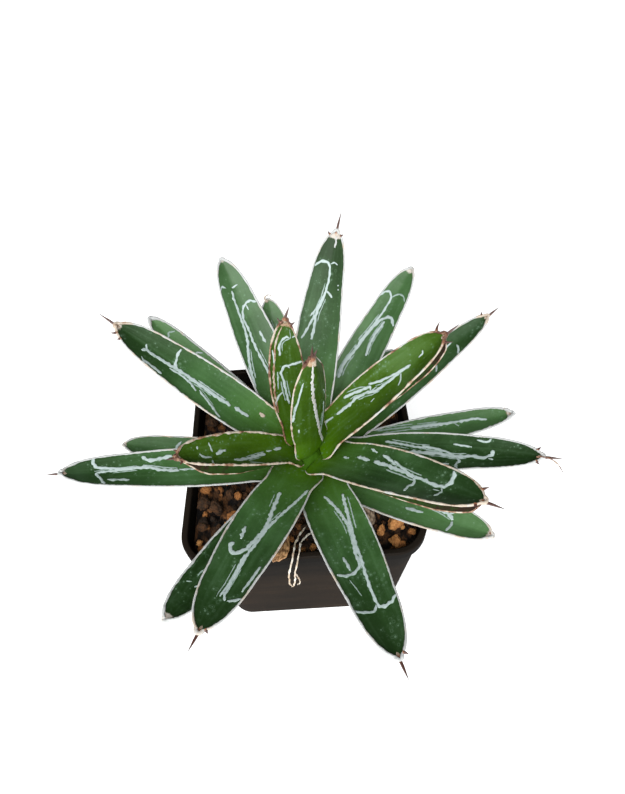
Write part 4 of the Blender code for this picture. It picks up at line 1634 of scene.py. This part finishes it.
# ------------------------------------------------------------------------------- the pot
@dataclass
class Pot:
    """Square nursery pot with round corners, a turned-out lip and drain holes.

    Args:
        low: the lowest corner of its solid; not used.
        high: the highest corner of its solid.
        foot_side: side of the underside.
        corner: corner radius of the lip.
        wall: wall thickness.
        floor: floor thickness.
        lip: height of the lip.
        overhang: how far the lip stands out from the wall below it.
        drain: diameter of a drain hole.
        inset: from the side of the underside to a drain hole's centre.
    """

    low: Vector
    high: Vector
    foot_side: float = 0.077
    corner: float = 0.013
    wall: float = 0.0012
    floor: float = 0.0016
    lip: float = 0.0058
    overhang: float = 0.0012
    drain: float = 0.0085
    inset: float = 0.016

    CORNERS = ((1, 1), (-1, 1), (-1, -1), (1, -1))
    CORNER_STEPS = 14       # points round one corner
    SIDE_STEPS = 26         # points along one side
    HOLE_STEPS = 40         # points round a drain hole
    WALL_STEPS = 18         # rings up the wall
    FOOT_ROUND = 0.0012     # radius where the wall meets the underside
    EDGE_ROUND = 0.0007     # radius of the lip's outer edges
    BRIM_ROUND = 0.0006     # radius of the lip's inner edge

    def outline(self, half: float, radius: float) -> np.ndarray:
        """Give a square with round corners.

        Args:
            half: half its side.
            radius: its corner radius.

        Returns:
            Points in order, on the level.
        """
        signs = np.array(self.CORNERS, float)
        points = []
        for k in range(4):
            angle = (k + np.linspace(0.0, 1.0, self.CORNER_STEPS)) * pi / 2
            arc = signs[k] * (half - radius) + radius * np.stack([np.cos(angle), np.sin(angle)], 1)
            after = signs[(k + 1) % 4] * (half - radius) + radius * np.array(
                [cos((k + 1) * pi / 2), sin((k + 1) * pi / 2)])
            share = np.linspace(0.0, 1.0, self.SIDE_STEPS + 2)[1:-1, None]
            points += [arc, arc[-1] * (1 - share) + after * share]
        return np.concatenate(points)

    def wall_half(self, height: float) -> float:
        """Give half the outside width of the wall.

        Args:
            height: where.

        Returns:
            The half width.
        """
        top = self.high.x - self.overhang
        return self.foot_side / 2 + (top - self.foot_side / 2) * height / self.high.z

    def wall_corner(self, height: float) -> float:
        """Give the corner radius of the wall's outside.

        Args:
            height: where.

        Returns:
            The radius.
        """
        return (self.corner - self.overhang) * (0.8 + 0.2 * height / self.high.z)

    def level(self, half: float, radius: float, height: float) -> np.ndarray:
        """Give one level ring.

        The sides bow a little, most in their middle and near the top, as thin plastic does.

        Args:
            half: half its side.
            radius: its corner radius.
            height: its height.

        Returns:
            The points.
        """
        flat = self.outline(half, radius)
        reach = np.abs(flat).max(1)
        slack = ramp(0.75 * half, 0.0, np.abs(flat).min(1)) * (reach > 0.95 * half)
        bow = (0.0005 * np.sin(flat[:, 0] * 90 + 1.0) + 0.0004) * slack * height / self.high.z
        flat = flat * (1 - bow / np.maximum(reach, 1e-6))[:, None]
        return raised(flat, height)

    def build(self, finish: bpy.types.Material) -> bpy.types.Object:
        """Make the pot.

        Args:
            finish: its material.

        Returns:
            The object.
        """
        top, lip_low = self.high.z, self.high.z - self.lip
        foot, edge, brim = self.FOOT_ROUND, self.EDGE_ROUND, self.BRIM_ROUND
        quarter = np.linspace(0.0, pi / 2, 5)
        half, corner = self.wall_half, self.wall_corner
        rings = []
        for angle in quarter:
            back = foot * (1 - sin(angle))
            rings.append((half(0) - back, corner(0) - back, foot * (1 - cos(angle))))
        for height in np.linspace(foot, lip_low - 0.0003, self.WALL_STEPS)[1:]:
            rings.append((half(height), corner(height), height))
        lip_half = self.high.x
        rings.append((lip_half - edge, self.corner - edge, lip_low))
        for angle in quarter:
            back = edge * (1 - sin(angle))
            rings.append((lip_half - back, self.corner - back, lip_low + edge * (1 - cos(angle))))
        for height in np.linspace(lip_low + edge, top - edge, 5)[1:-1]:
            rings.append((lip_half, self.corner, height))
        inner = lip_half - half(top) + self.wall
        for angle in quarter:
            back = edge * (1 - cos(angle))
            rings.append((lip_half - back, self.corner - back, top - edge * (1 - sin(angle))))
        for angle in quarter:
            back = inner - brim * (1 - sin(angle))
            rings.append((lip_half - back, self.corner - back, top - brim * (1 - cos(angle))))
        for height in np.linspace(top - 0.001, self.floor, self.WALL_STEPS):
            rings.append((half(height) - self.wall, corner(height) - self.wall, height))
        stack = np.stack([self.level(size, max(radius, 0.001), height)
                          for size, radius, height in rings])
        body = lofted(stack, np.zeros_like(stack))
        solid = build_piece("square_nursery_pot", [body], [finish], ["nursery_pot"])
        self.drill(solid)
        return solid

    def drill(self, solid: bpy.types.Object) -> None:
        """Cut the drain holes through the floor.

        Args:
            solid: the pot.
        """
        reach = self.foot_side / 2 - self.inset
        for signs in self.CORNERS:
            turn = np.linspace(0.0, tau, self.HOLE_STEPS, endpoint=False)
            x, y = (reach * sign for sign in signs)
            radius = self.drain / 2
            circle = np.stack([x + radius * np.cos(turn), y + radius * np.sin(turn)], 1)
            rings = np.stack([raised(circle, z) for z in (-0.003, 2.5 * self.floor)])
            plain = lofted(rings, np.zeros_like(rings))
            mesh = bpy.data.meshes.new("drain")
            corners = [tuple(dict.fromkeys(face)) for face in plain.faces.tolist()]
            mesh.from_pydata(plain.points.tolist(), [], corners)
            cutter = placed("drain", mesh)
            cut = solid.modifiers.new("drain", "BOOLEAN")
            cut.operation, cut.solver, cut.object = "DIFFERENCE", "EXACT", cutter
            bpy.context.view_layer.update()
            shaped = bpy.data.meshes.new_from_object(
                solid.evaluated_get(bpy.context.evaluated_depsgraph_get()))
            solid.modifiers.clear()
            solid.data = shaped
            bpy.data.objects.remove(cutter)
        solid.data.set_sharp_from_angle(angle=radians(50))


# ------------------------------------------------------------------------ soil and grains
PLANES = 15             # planes that cut a lump
CRISP = 9.0             # power of the mean; the higher, the sharper the edges
RAGGED = 0.075          # height of a lump's roughness, as a share of its radius
PORES = 30              # sines in that roughness


def facets(directions: np.ndarray, seed: int) -> np.ndarray:
    """Give the radius of an angular lump in given directions.

    The lump is a ball cut by planes at random distances, with its edges a little rounded:
    the inverse radius is a high-power mean of the inverse distances to the planes.  A sum of
    sines of the direction roughens it.

    Args:
        directions: unit vectors.
        seed: which lump.

    Returns:
        One radius for each direction, about one.
    """
    rng = np.random.default_rng(seed)
    planes = unit(rng.normal(size=(PLANES, 3)))
    far = rng.uniform(0.72, 1.0, PLANES)
    lean = np.maximum(directions @ planes.T, 0.0) / far
    pores = unit(rng.normal(size=(PORES, 3))) * rng.uniform(5.0, 15.0, (PORES, 1))
    rough = np.sin(directions @ pores.T + rng.uniform(0.0, tau, PORES)).sum(1) / PORES**0.5
    return ((lean**CRISP).sum(1) + 0.75**CRISP) ** (-1 / CRISP) * (1 + RAGGED * rough)


class Ball:
    """Points and triangles of a ball that lumps are shaped from.

    Args:
        level: how often its faces are divided.
    """

    def __init__(self, level: int) -> None:
        """Make the ball."""
        work, mesh = bmesh.new(), bpy.data.meshes.new("ball")
        bmesh.ops.create_icosphere(work, subdivisions=level, radius=1.0)
        work.to_mesh(mesh)
        work.free()
        points = np.empty(len(mesh.vertices) * 3, np.float32)
        corners = np.empty(len(mesh.loops), np.int32)
        mesh.vertices.foreach_get("co", points)
        mesh.loops.foreach_get("vertex_index", corners)
        bpy.data.meshes.remove(mesh)
        self.points = unit(points.reshape(-1, 3).astype(float))
        self.faces = corners.reshape(-1, 3)[:, [0, 1, 2, 2]]

    def lump(self, centre: np.ndarray, radii: np.ndarray, seed: int, tone: float) -> Shell:
        """Shape one angular lump.

        Args:
            centre: its middle.
            radii: half its size each way.
            seed: which lump.
            tone: its tone, from dark to pale.

        Returns:
            A closed surface.
        """
        shape = self.points * facets(self.points, seed)[:, None]
        span = shape.max(0) - shape.min(0)
        shape = (shape - (shape.max(0) + shape.min(0)) / 2) / span * 2
        mark = np.repeat([[tone, 0.0, 0.0]], len(shape), 0)
        return Shell(centre + shape * radii, self.faces.copy(), mark).outward()


@dataclass
class SoilBed:
    """Soil that fills the pot, its top a bed of small pebbles with gaps darkened as painted shade.

    Args:
        pot: the pot that it fills.
        top: height of its surface.
        floor: height of its underside.
        pebble: distance between the middles of two pebbles.
        seed: for its pebbles.
    """

    pot: Pot
    top: float
    floor: float
    pebble: float = 0.0024
    seed: int = 5

    RINGS = 130

    def pebbles(self, flat: np.ndarray) -> tuple[np.ndarray, np.ndarray, np.ndarray]:
        """Find the pebble that shows at each place.

        Pebble middles lie on a jittered grid; each pebble is a flattened ball of random
        radius and height, and the highest one over a place is the one that shows.

        Args:
            flat: places on the level.

        Returns:
            The height over the gaps, the tone of the pebble, and how deep in a gap it is, which the grit
            paints as shade.
        """
        cell = np.floor(flat / self.pebble).astype(int)
        best = np.full(len(flat), -1.0)
        tone = np.zeros(len(flat))
        rng = np.random.default_rng(self.seed)
        table = rng.random((128, 128, 5))
        for dx in (-1, 0, 1):
            for dy in (-1, 0, 1):
                near = cell + (dx, dy)
                dice = table[near[:, 0] % 128, near[:, 1] % 128]
                middle = (near + dice[:, :2] * 0.9 + 0.05) * self.pebble
                radius = self.pebble * (0.42 + 0.42 * dice[:, 2] ** 1.5)
                away = np.linalg.norm(flat - middle, axis=1)
                away = away * (1 + 0.22 * np.sin(np.arctan2(*(flat - middle).T) * 3 + dice[:, 3] * tau))
                height = np.sqrt(np.maximum(1 - (away / radius) ** 2, 0.0)) * radius * 0.75
                height = height + (dice[:, 3] - 0.5) * 0.0009 * (height > 0)
                tone = np.where(height > best, dice[:, 4], tone)
                best = np.maximum(best, height)
        # the last value, how deep in a gap, becomes painted shade in the grit
        return best, 0.55 * tone, ramp(0.0009, 0.0, best)

    def build(self, finish: bpy.types.Material) -> bpy.types.Object:
        """Make the soil.

        Args:
            finish: its material.

        Returns:
            The object.
        """
        gap = self.pot.wall + 0.0002
        half, radius = self.pot.wall_half(self.top) - gap, self.pot.wall_corner(self.top) - gap
        edge = self.pot.outline(half, radius)
        shares = np.linspace(1.0, 0.004, self.RINGS)
        flat = (edge[None] * shares[:, None, None]).reshape(-1, 2)
        height, tone, depth = self.pebbles(flat)
        swell = 0.0005 * np.sin(flat[:, 0] * 160 + 1) * np.cos(flat[:, 1] * 130)
        rise = (height - 0.0007) * ramp(1.0, 0.985, np.repeat(shares, len(edge)))
        crown = np.concatenate([flat, (self.top + swell + rise)[:, None]], 1)
        crown_mark = np.stack([tone, depth, np.zeros_like(tone)], -1)
        low = self.floor + 0.0003
        rings, marks = [], []
        for z in np.linspace(low, self.top - 0.001, 4):
            outline = self.pot.outline(self.pot.wall_half(z) - gap, self.pot.wall_corner(z) - gap)
            rings.append(raised(outline, z))
            # the sides get a depth of 0.3, painted shade against the pot wall
            marks.append(np.repeat([[0.2, 0.3, 0.0]], len(outline), 0))
        around = len(edge)
        stack = np.concatenate([np.stack(rings), crown.reshape(-1, around, 3)])
        mark = np.concatenate([np.stack(marks), crown_mark.reshape(-1, around, 3)])
        return build_piece("granular_soil", [lofted(stack, mark)], [finish], ["potting_soil"])


@dataclass
class LooseGrit:
    """Small loose crumbs scattered on the soil.

    Args:
        pot: the pot that they lie in.
        top: height of the soil.
        count: how many are thrown; those that fall in the pot's round corners are left out.
        seed: for their places, sizes and tones.
    """

    pot: Pot
    top: float
    count: int = 420
    seed: int = 11

    TONES = (0.18, 0.34, 0.5, 0.66, 0.8, 0.95)
    ODDS = (0.36, 0.30, 0.18, 0.10, 0.04, 0.02)     # how often each tone is drawn

    def build(self, finish: bpy.types.Material) -> bpy.types.Object:
        """Make the crumbs, as one piece.

        Args:
            finish: their material.

        Returns:
            The object.
        """
        rng = np.random.default_rng(self.seed)
        ball = Ball(2)
        reach = self.pot.wall_half(self.top) - self.pot.wall - 0.0018
        shells = []
        for number in range(self.count):
            x, y = rng.uniform(-reach, reach, 2)
            size = rng.uniform(0.0007, 0.0017) * (1.0 if number % 5 else 1.5)
            corner = np.hypot(*(np.maximum(np.abs([x, y]) - (reach - 0.009), 0.0)))
            if corner > 0.009:
                continue
            radii = size * rng.uniform(0.65, 1.1, 3)
            tone = rng.choice(self.TONES, p=self.ODDS)
            centre = np.array([x, y, self.top + 0.0002 + radii[2] * 0.7])
            shells.append(ball.lump(centre, radii, self.seed * 1000 + number, float(tone)))
        return build_piece("loose_grit", shells, [finish], smooth=28)


@dataclass
class Grain:
    """One of the larger grains, in the place of its solid.

    Args:
        node: the solid.
        tone: its tone, from dark to pale.
        slot: its material slot; not used.
        seed: for its facets.
    """

    node: str
    tone: float
    slot: str
    seed: int

    def build(self, finish: bpy.types.Material) -> bpy.types.Object:
        """Make the grain.

        Args:
            finish: its material.

        Returns:
            The object.
        """
        low, high = (np.array(corner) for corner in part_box(self.node))
        body = Ball(5).lump((low + high) / 2, (high - low) / 2 * 1.04, self.seed, self.tone)
        return build_piece(self.node.replace("grain", "granule"), [body], [finish],
                           [self.node], smooth=40)


# --------------------------------------------------------------------------- dry remnants
@dataclass
class DryFibre:
    """A dry strand of leaf edge that hangs over the front lip and doubles back.

    Its points are in millimetres from the middle of the front lip's top edge.

    Args:
        front: the place of the front lip.
        rim: the height of the lip's top.
    """

    front: float
    rim: float

    ROUTE = ((0.4, 14.6, -4.9), (-2.8, 8.0, -1.0), (-4.0, 1.6, 1.9), (-5.0, -2.2, 0.6),
             (-6.0, -3.6, -3.6), (-6.2, -4.3, -9.0), (-5.6, -4.7, -12.4))
    BACK = ((-5.7, -4.7, -12.4), (-5.0, -4.7, -11.2), (-4.2, -4.4, -8.2), (-3.9, -3.6, -3.2),
            (-2.9, -2.2, 1.0), (-2.0, 1.4, 2.2), (-1.0, 7.2, -0.6), (2.4, 12.2, -4.6))
    HOOK = ((-3.9, -3.4, -2.2), (-3.0, -3.9, -5.0), (-2.5, -4.3, -8.0), (-2.9, -4.6, -10.4),
            (-3.7, -4.7, -11.0))

    def strand(self, points: Sequence[Sequence[float]], width: float, seed: int,
               tan: tuple[float, float]) -> Shell:
        """Make one strand.

        Args:
            points: the points that it passes through.
            width: its width.
            seed: for its unevenness.
            tan: how tanned it is at its two ends.

        Returns:
            A closed tube.
        """
        base = np.array([0.0, self.front, self.rim])
        path = route(np.array(points) * MM + base, 0.0004)
        t = np.linspace(0.0, 1.0, len(path))
        path = path + 0.00012 * np.stack([wobble(t * 14, seed), wobble(t * 14, seed + 1),
                                          wobble(t * 14, seed + 2)], -1)
        radius = width / 2 * (1 + 0.25 * wobble(t * 18, seed + 3)) * (
            0.35 + 0.65 * ramp(0.0, 0.06, t) * ramp(1.0, 0.94, t))
        tone = tan[0] + (tan[1] - tan[0]) * t
        mark = np.stack([t * 5, tone, t], -1)
        return tube(path, radius, mark, 0, np.array([1.0, 0.0, 0.0]), 0.7)

    def build(self, finish: bpy.types.Material) -> bpy.types.Object:
        """Make the strands, grown together at their tip.

        Args:
            finish: their material.

        Returns:
            The object.
        """
        shells = [self.strand(self.ROUTE, 0.0009, 3, (0.2, 0.6)),
                  self.strand(self.BACK, 0.0008, 13, (0.9, 0.1)),
                  self.strand(self.HOOK, 0.0005, 23, (0.2, 0.3))]
        return build_piece("dry_edge_strand", shells, [finish], ["dry_leaf_fibre"])


@dataclass
class DryScrap:
    """A thin curled remnant of a dead leaf, spanned between two edges.

    Args:
        name: its name.
        node: the solid that it replaces.
        one: points along one edge, in metres.
        other: points along the other edge.
        curl: how far its middle stands off the plane of its edges.
        thick: its thickness.
    """

    name: str
    node: str
    one: np.ndarray
    other: np.ndarray
    curl: float = 0.0006
    thick: float = 0.00035

    ALONG = 60
    ACROSS = 24

    def build(self, finish: bpy.types.Material) -> bpy.types.Object:
        """Make the remnant.

        Args:
            finish: its material.

        Returns:
            The object.
        """
        t = np.linspace(0.0, 1.0, self.ALONG)
        edges = [smooth_through(np.linspace(0, 1, len(e)), e, t) for e in (self.one, self.other)]
        s = np.linspace(0.0, 1.0, self.ACROSS)
        share = np.concatenate([s, s[::-1]])
        side = np.concatenate([np.ones(self.ACROSS), -np.ones(self.ACROSS)])
        span = edges[1] - edges[0]
        ahead = np.gradient((edges[0] + edges[1]) / 2, axis=0)
        up = unit(np.cross(ahead, span))
        up = up * np.sign(up[:, 2:3])
        lift = self.curl * np.sin(pi * share) + 0.00012 * np.sin(share * 34)
        crumple = 0.00025 * wobble(t * 7, 5)[:, None] * np.cos(share * 5)[None]
        height = lift[None] + crumple + side[None] * self.thick / 2
        rings = edges[0][:, None] + span[:, None] * share[None, :, None]
        rings = rings + up[:, None] * height[..., None]
        mark = np.stack(np.broadcast_arrays(t[:, None] * 3, share[None], t[:, None]), -1)
        return build_piece(self.name, [lofted(rings, mark)], [finish], [self.node])


# --------------------------------------------------------------------- stage and camera
@dataclass(frozen=True)
class Studio:
    """Pale floor, plain soft light and the camera.

    Args:
        focal: focal length of the camera in millimetres, on a 36 mm long side.
        pitch: how far down the camera looks, in degrees.
        yaw: how far to the right of straight ahead it looks.
        roll: how far it is turned about its own axis.
        place: where it is, in metres.
        horizon: brightness of most of the surroundings.
        window: their brightness where soft light comes in, high on the near side.
    """

    focal: float = 24.94
    pitch: float = 52.7
    yaw: float = -1.2
    roll: float = -4.7
    place: tuple[float, float, float] = (0.0088, -0.1165, 0.2678)
    horizon: float = 0.12
    window: float = 1.5

    AIM = (0, 0, 0.08)      # the point that the lamps face
    FLOOR_HALF = 3.0        # half the side of the floor

    def camera(self) -> None:
        """Make the camera."""
        data = bpy.data.cameras.new("camera")
        data.sensor_width, data.lens, data.sensor_fit = 36.0, self.focal, "AUTO"
        data.clip_start = 0.01
        pitch, yaw, roll = radians(self.pitch), radians(self.yaw), radians(self.roll)
        ahead = Vector((sin(yaw) * cos(pitch), cos(yaw) * cos(pitch), -sin(pitch)))
        level = Vector((cos(yaw), -sin(yaw), 0.0))
        above = level.cross(ahead)
        right = cos(roll) * level + sin(roll) * above
        up = cos(roll) * above - sin(roll) * level
        turn = Matrix((right, up, -ahead)).transposed().to_4x4()
        view = placed("camera", data)
        view.matrix_world = Matrix.Translation(self.place) @ turn
        bpy.context.scene.camera = view

    def floor(self) -> None:
        """Make the floor."""
        mesh = bpy.data.meshes.new("floor")
        side = self.FLOOR_HALF
        mesh.from_pydata([(-side, -side, 0), (side, -side, 0), (side, side, 0), (-side, side, 0)], [],
                         [(0, 1, 2, 3)])
        surface = Surface("floor")
        mesh.materials.append(surface.finish((0.85, 0.85, 0.85), 0.9, Specular_IOR_Level=0.1,
                                             Emission_Color=(1.0, 1.0, 1.0), Emission_Strength=0.35))
        piece = placed("floor", mesh)

    def lamp(self, name: str, place: Sequence[float], size: float, power: float, tint: Colour) -> None:
        """Hang one square soft lamp that faces the plant.

        Args:
            name: its name.
            place: where it hangs.
            size: its side.
            power: in watts.
            tint: its colour.
        """
        data = bpy.data.lights.new(name, "AREA")
        data.size, data.energy, data.color = size, power, tint
        lamp = placed(name, data)
        lamp.location = place
        aim = Vector(self.AIM) - Vector(place)
        lamp.rotation_euler = aim.to_track_quat("-Z", "Y").to_euler()

    def light(self) -> None:
        """Light the stage softly, mostly from high on the near side."""
        world = bpy.data.worlds.new("world")
        bpy.context.scene.world = world
        world.use_nodes = True
        tree = world.node_tree
        parts = tree.nodes.new("ShaderNodeSeparateXYZ")
        tree.links.new(tree.nodes.new("ShaderNodeTexCoord").outputs["Generated"], parts.inputs[0])
        height, depth = Socket(tree, parts.outputs["Z"]), Socket(tree, parts.outputs["Y"])
        glow = self.horizon + (height * 0.3 - depth * 0.8).rise(0.2, 0.7) * (self.window - self.horizon)
        seen = Socket(tree, tree.nodes.new("ShaderNodeLightPath").outputs["Is Camera Ray"])
        plug(tree, tree.nodes["Background"].inputs["Strength"], glow * (1 - seen) + seen)
        tree.nodes["Background"].inputs["Color"].default_value = (0.97, 0.99, 1.0, 1.0)
        self.lamp("overhead", (-0.15, -0.85, 0.95), 1.1, 22.0, (1.0, 1.0, 1.0))
        self.lamp("side", (-0.9, -0.2, 0.9), 0.7, 4.0, (1.0, 0.99, 0.97))
        bpy.context.scene.view_settings.view_transform = "Standard"

    def build(self) -> None:
        """Make the stage."""
        self.floor()
        self.light()
        self.camera()


# ---------------------------------------------------------------------------- everything
SOIL_ROOM = 0.0009      # from the level of the soil up to the top of its solid
HEART_AT = 0.4          # height of the leaves' common point, as a share of the bare stem
FRONT_RIGHT = (0.02, -0.03)     # a grain past both of these lies in the front right corner
PAINTED_LIGHT_FRONT_RIGHT, PAINTED_SHADE_ELSEWHERE = 0.05, -0.07  # painted light and shade, added to the tone of a grain: lighter in the lit front right corner, darker elsewhere
FIRST_GRAIN_SEED = 100
SCRAP_SINK = (0, 0, 0.0005)     # from the top of the scrap's solid down to its edges


def front_points(*points: tuple[float, float, float], front: float, top: float) -> np.ndarray:
    """Place points given in millimetres from the middle of the front lip's top edge.

    Args:
        points: the points.
        front: the front lip's place.
        top: its height.

    Returns:
        The points in metres.
    """
    return np.array(points) * MM + (0.0, front, top)


def main() -> None:
    """Build the plant, its pot and the stage."""
    logging.basicConfig(level=logging.INFO, format="%(message)s")
    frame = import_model()
    nodes = frame["nodes"]

    pot = Pot(*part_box("nursery_pot"))
    soil_low, soil_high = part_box("potting_soil")
    soil_top = soil_high.z - SOIL_ROOM
    pot.build(PotPlastic(pot.high.z).make())
    grit = Grit().make()
    SoilBed(pot, soil_top, soil_low.z).build(grit)
    LooseGrit(pot, soil_top).build(grit)

    stem_low, stem_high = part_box("stem_and_roots")
    Stem("stem_and_roots", soil_top).build(StemTissue().make())
    heart = np.array([(stem_low.x + stem_high.x) / 2, (stem_low.y + stem_high.y) / 2,
                      soil_top + HEART_AT * (stem_high.z - soil_top)])
    shared = [Horn().make(), Print().make(), Spine().make(), Underside().make()]
    skins = {
        Age.INNER: LeafSkin(Age.INNER.value, deep=(0.010, 0.030, 0.001), fresh=(0.062, 0.135, 0.008),
                            heart=(0.046, 0.120, 0.001), horn=(0.33, 0.23, 0.15),
                            burnt=(0.12, 0.045, 0.02), shade=0.2, shine=0.0, gloss=0.08),
        Age.GROWN: LeafSkin(Age.GROWN.value),
        Age.OUTER: LeafSkin(Age.OUTER.value, deep=(0.016, 0.048, 0.012), fresh=(0.080, 0.185, 0.058),
                            shade=0.3, shine=0.08, gloss=0.32),
    }
    dressed = {age: [skin.make(), *shared] for age, skin in skins.items()}
    for leaf in LEAVES:
        form = LeafForm(nodes[leaf.node], heart, leaf.spine * MM, leaf.swell)
        leaf.build(form, dressed[leaf.kind])

    tones = {"orange": 0.70, "brown": 0.38, "pale": 0.95}
    for number, name in enumerate(sorted(n for n in nodes if "grain" in n)):
        colour = name.split("_")[0]
        low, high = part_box(name)
        in_lit_corner = high.x > FRONT_RIGHT[0] and low.y < FRONT_RIGHT[1]
        # painted light on the grains in the front right corner, painted shade on the others
        tone = tones[colour] + (PAINTED_LIGHT_FRONT_RIGHT if in_lit_corner else PAINTED_SHADE_ELSEWHERE)
        Grain(name, tone, f"{colour}_grain", FIRST_GRAIN_SEED + number).build(grit)

    front, top = -pot.high.x, pot.high.z
    DryFibre(front, top).build(DryLeaf("dry_strand", (0.72, 0.68, 0.60), (0.42, 0.32, 0.22),
                                       (0.30, 0.17, 0.09), 2.0).make())
    flake = DryLeaf("dry_flake", (0.60, 0.34, 0.16), (0.26, 0.11, 0.04), (0.08, 0.04, 0.02), 9.0).make()
    DryScrap("striped_dry_flake", "dry_leaf_flake",
             front_points((-5.9, 12.4, -5.0), (-5.4, 6.0, -1.8), (-6.4, 1.6, 0.8), (-9.0, -0.6, 1.8),
                          front=front, top=top),
             front_points((-11.8, 11.6, -4.8), (-12.2, 7.0, -1.8), (-12.6, 3.0, 0.6), (-11.0, -0.8, 1.9),
                          front=front, top=top)).build(flake)
    scrap = DryLeaf("dead_scrap", (0.30, 0.22, 0.15), (0.12, 0.08, 0.05), (0.05, 0.03, 0.02)).make()
    low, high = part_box("dead_leaf_scrap")
    DryScrap("curled_dead_scrap", "dead_leaf_scrap",
             np.array([(low.x, low.y + 0.007, high.z), (low.x + 0.003, high.y - 0.002, high.z),
                       (low.x + 0.005, high.y, high.z)]) - SCRAP_SINK,
             np.array([(low.x + 0.004, low.y, high.z), (high.x, low.y + 0.004, high.z),
                       (high.x, high.y - 0.003, high.z)]) - SCRAP_SINK).build(scrap)

    Studio().build()


if __name__ == "__main__":
    main()
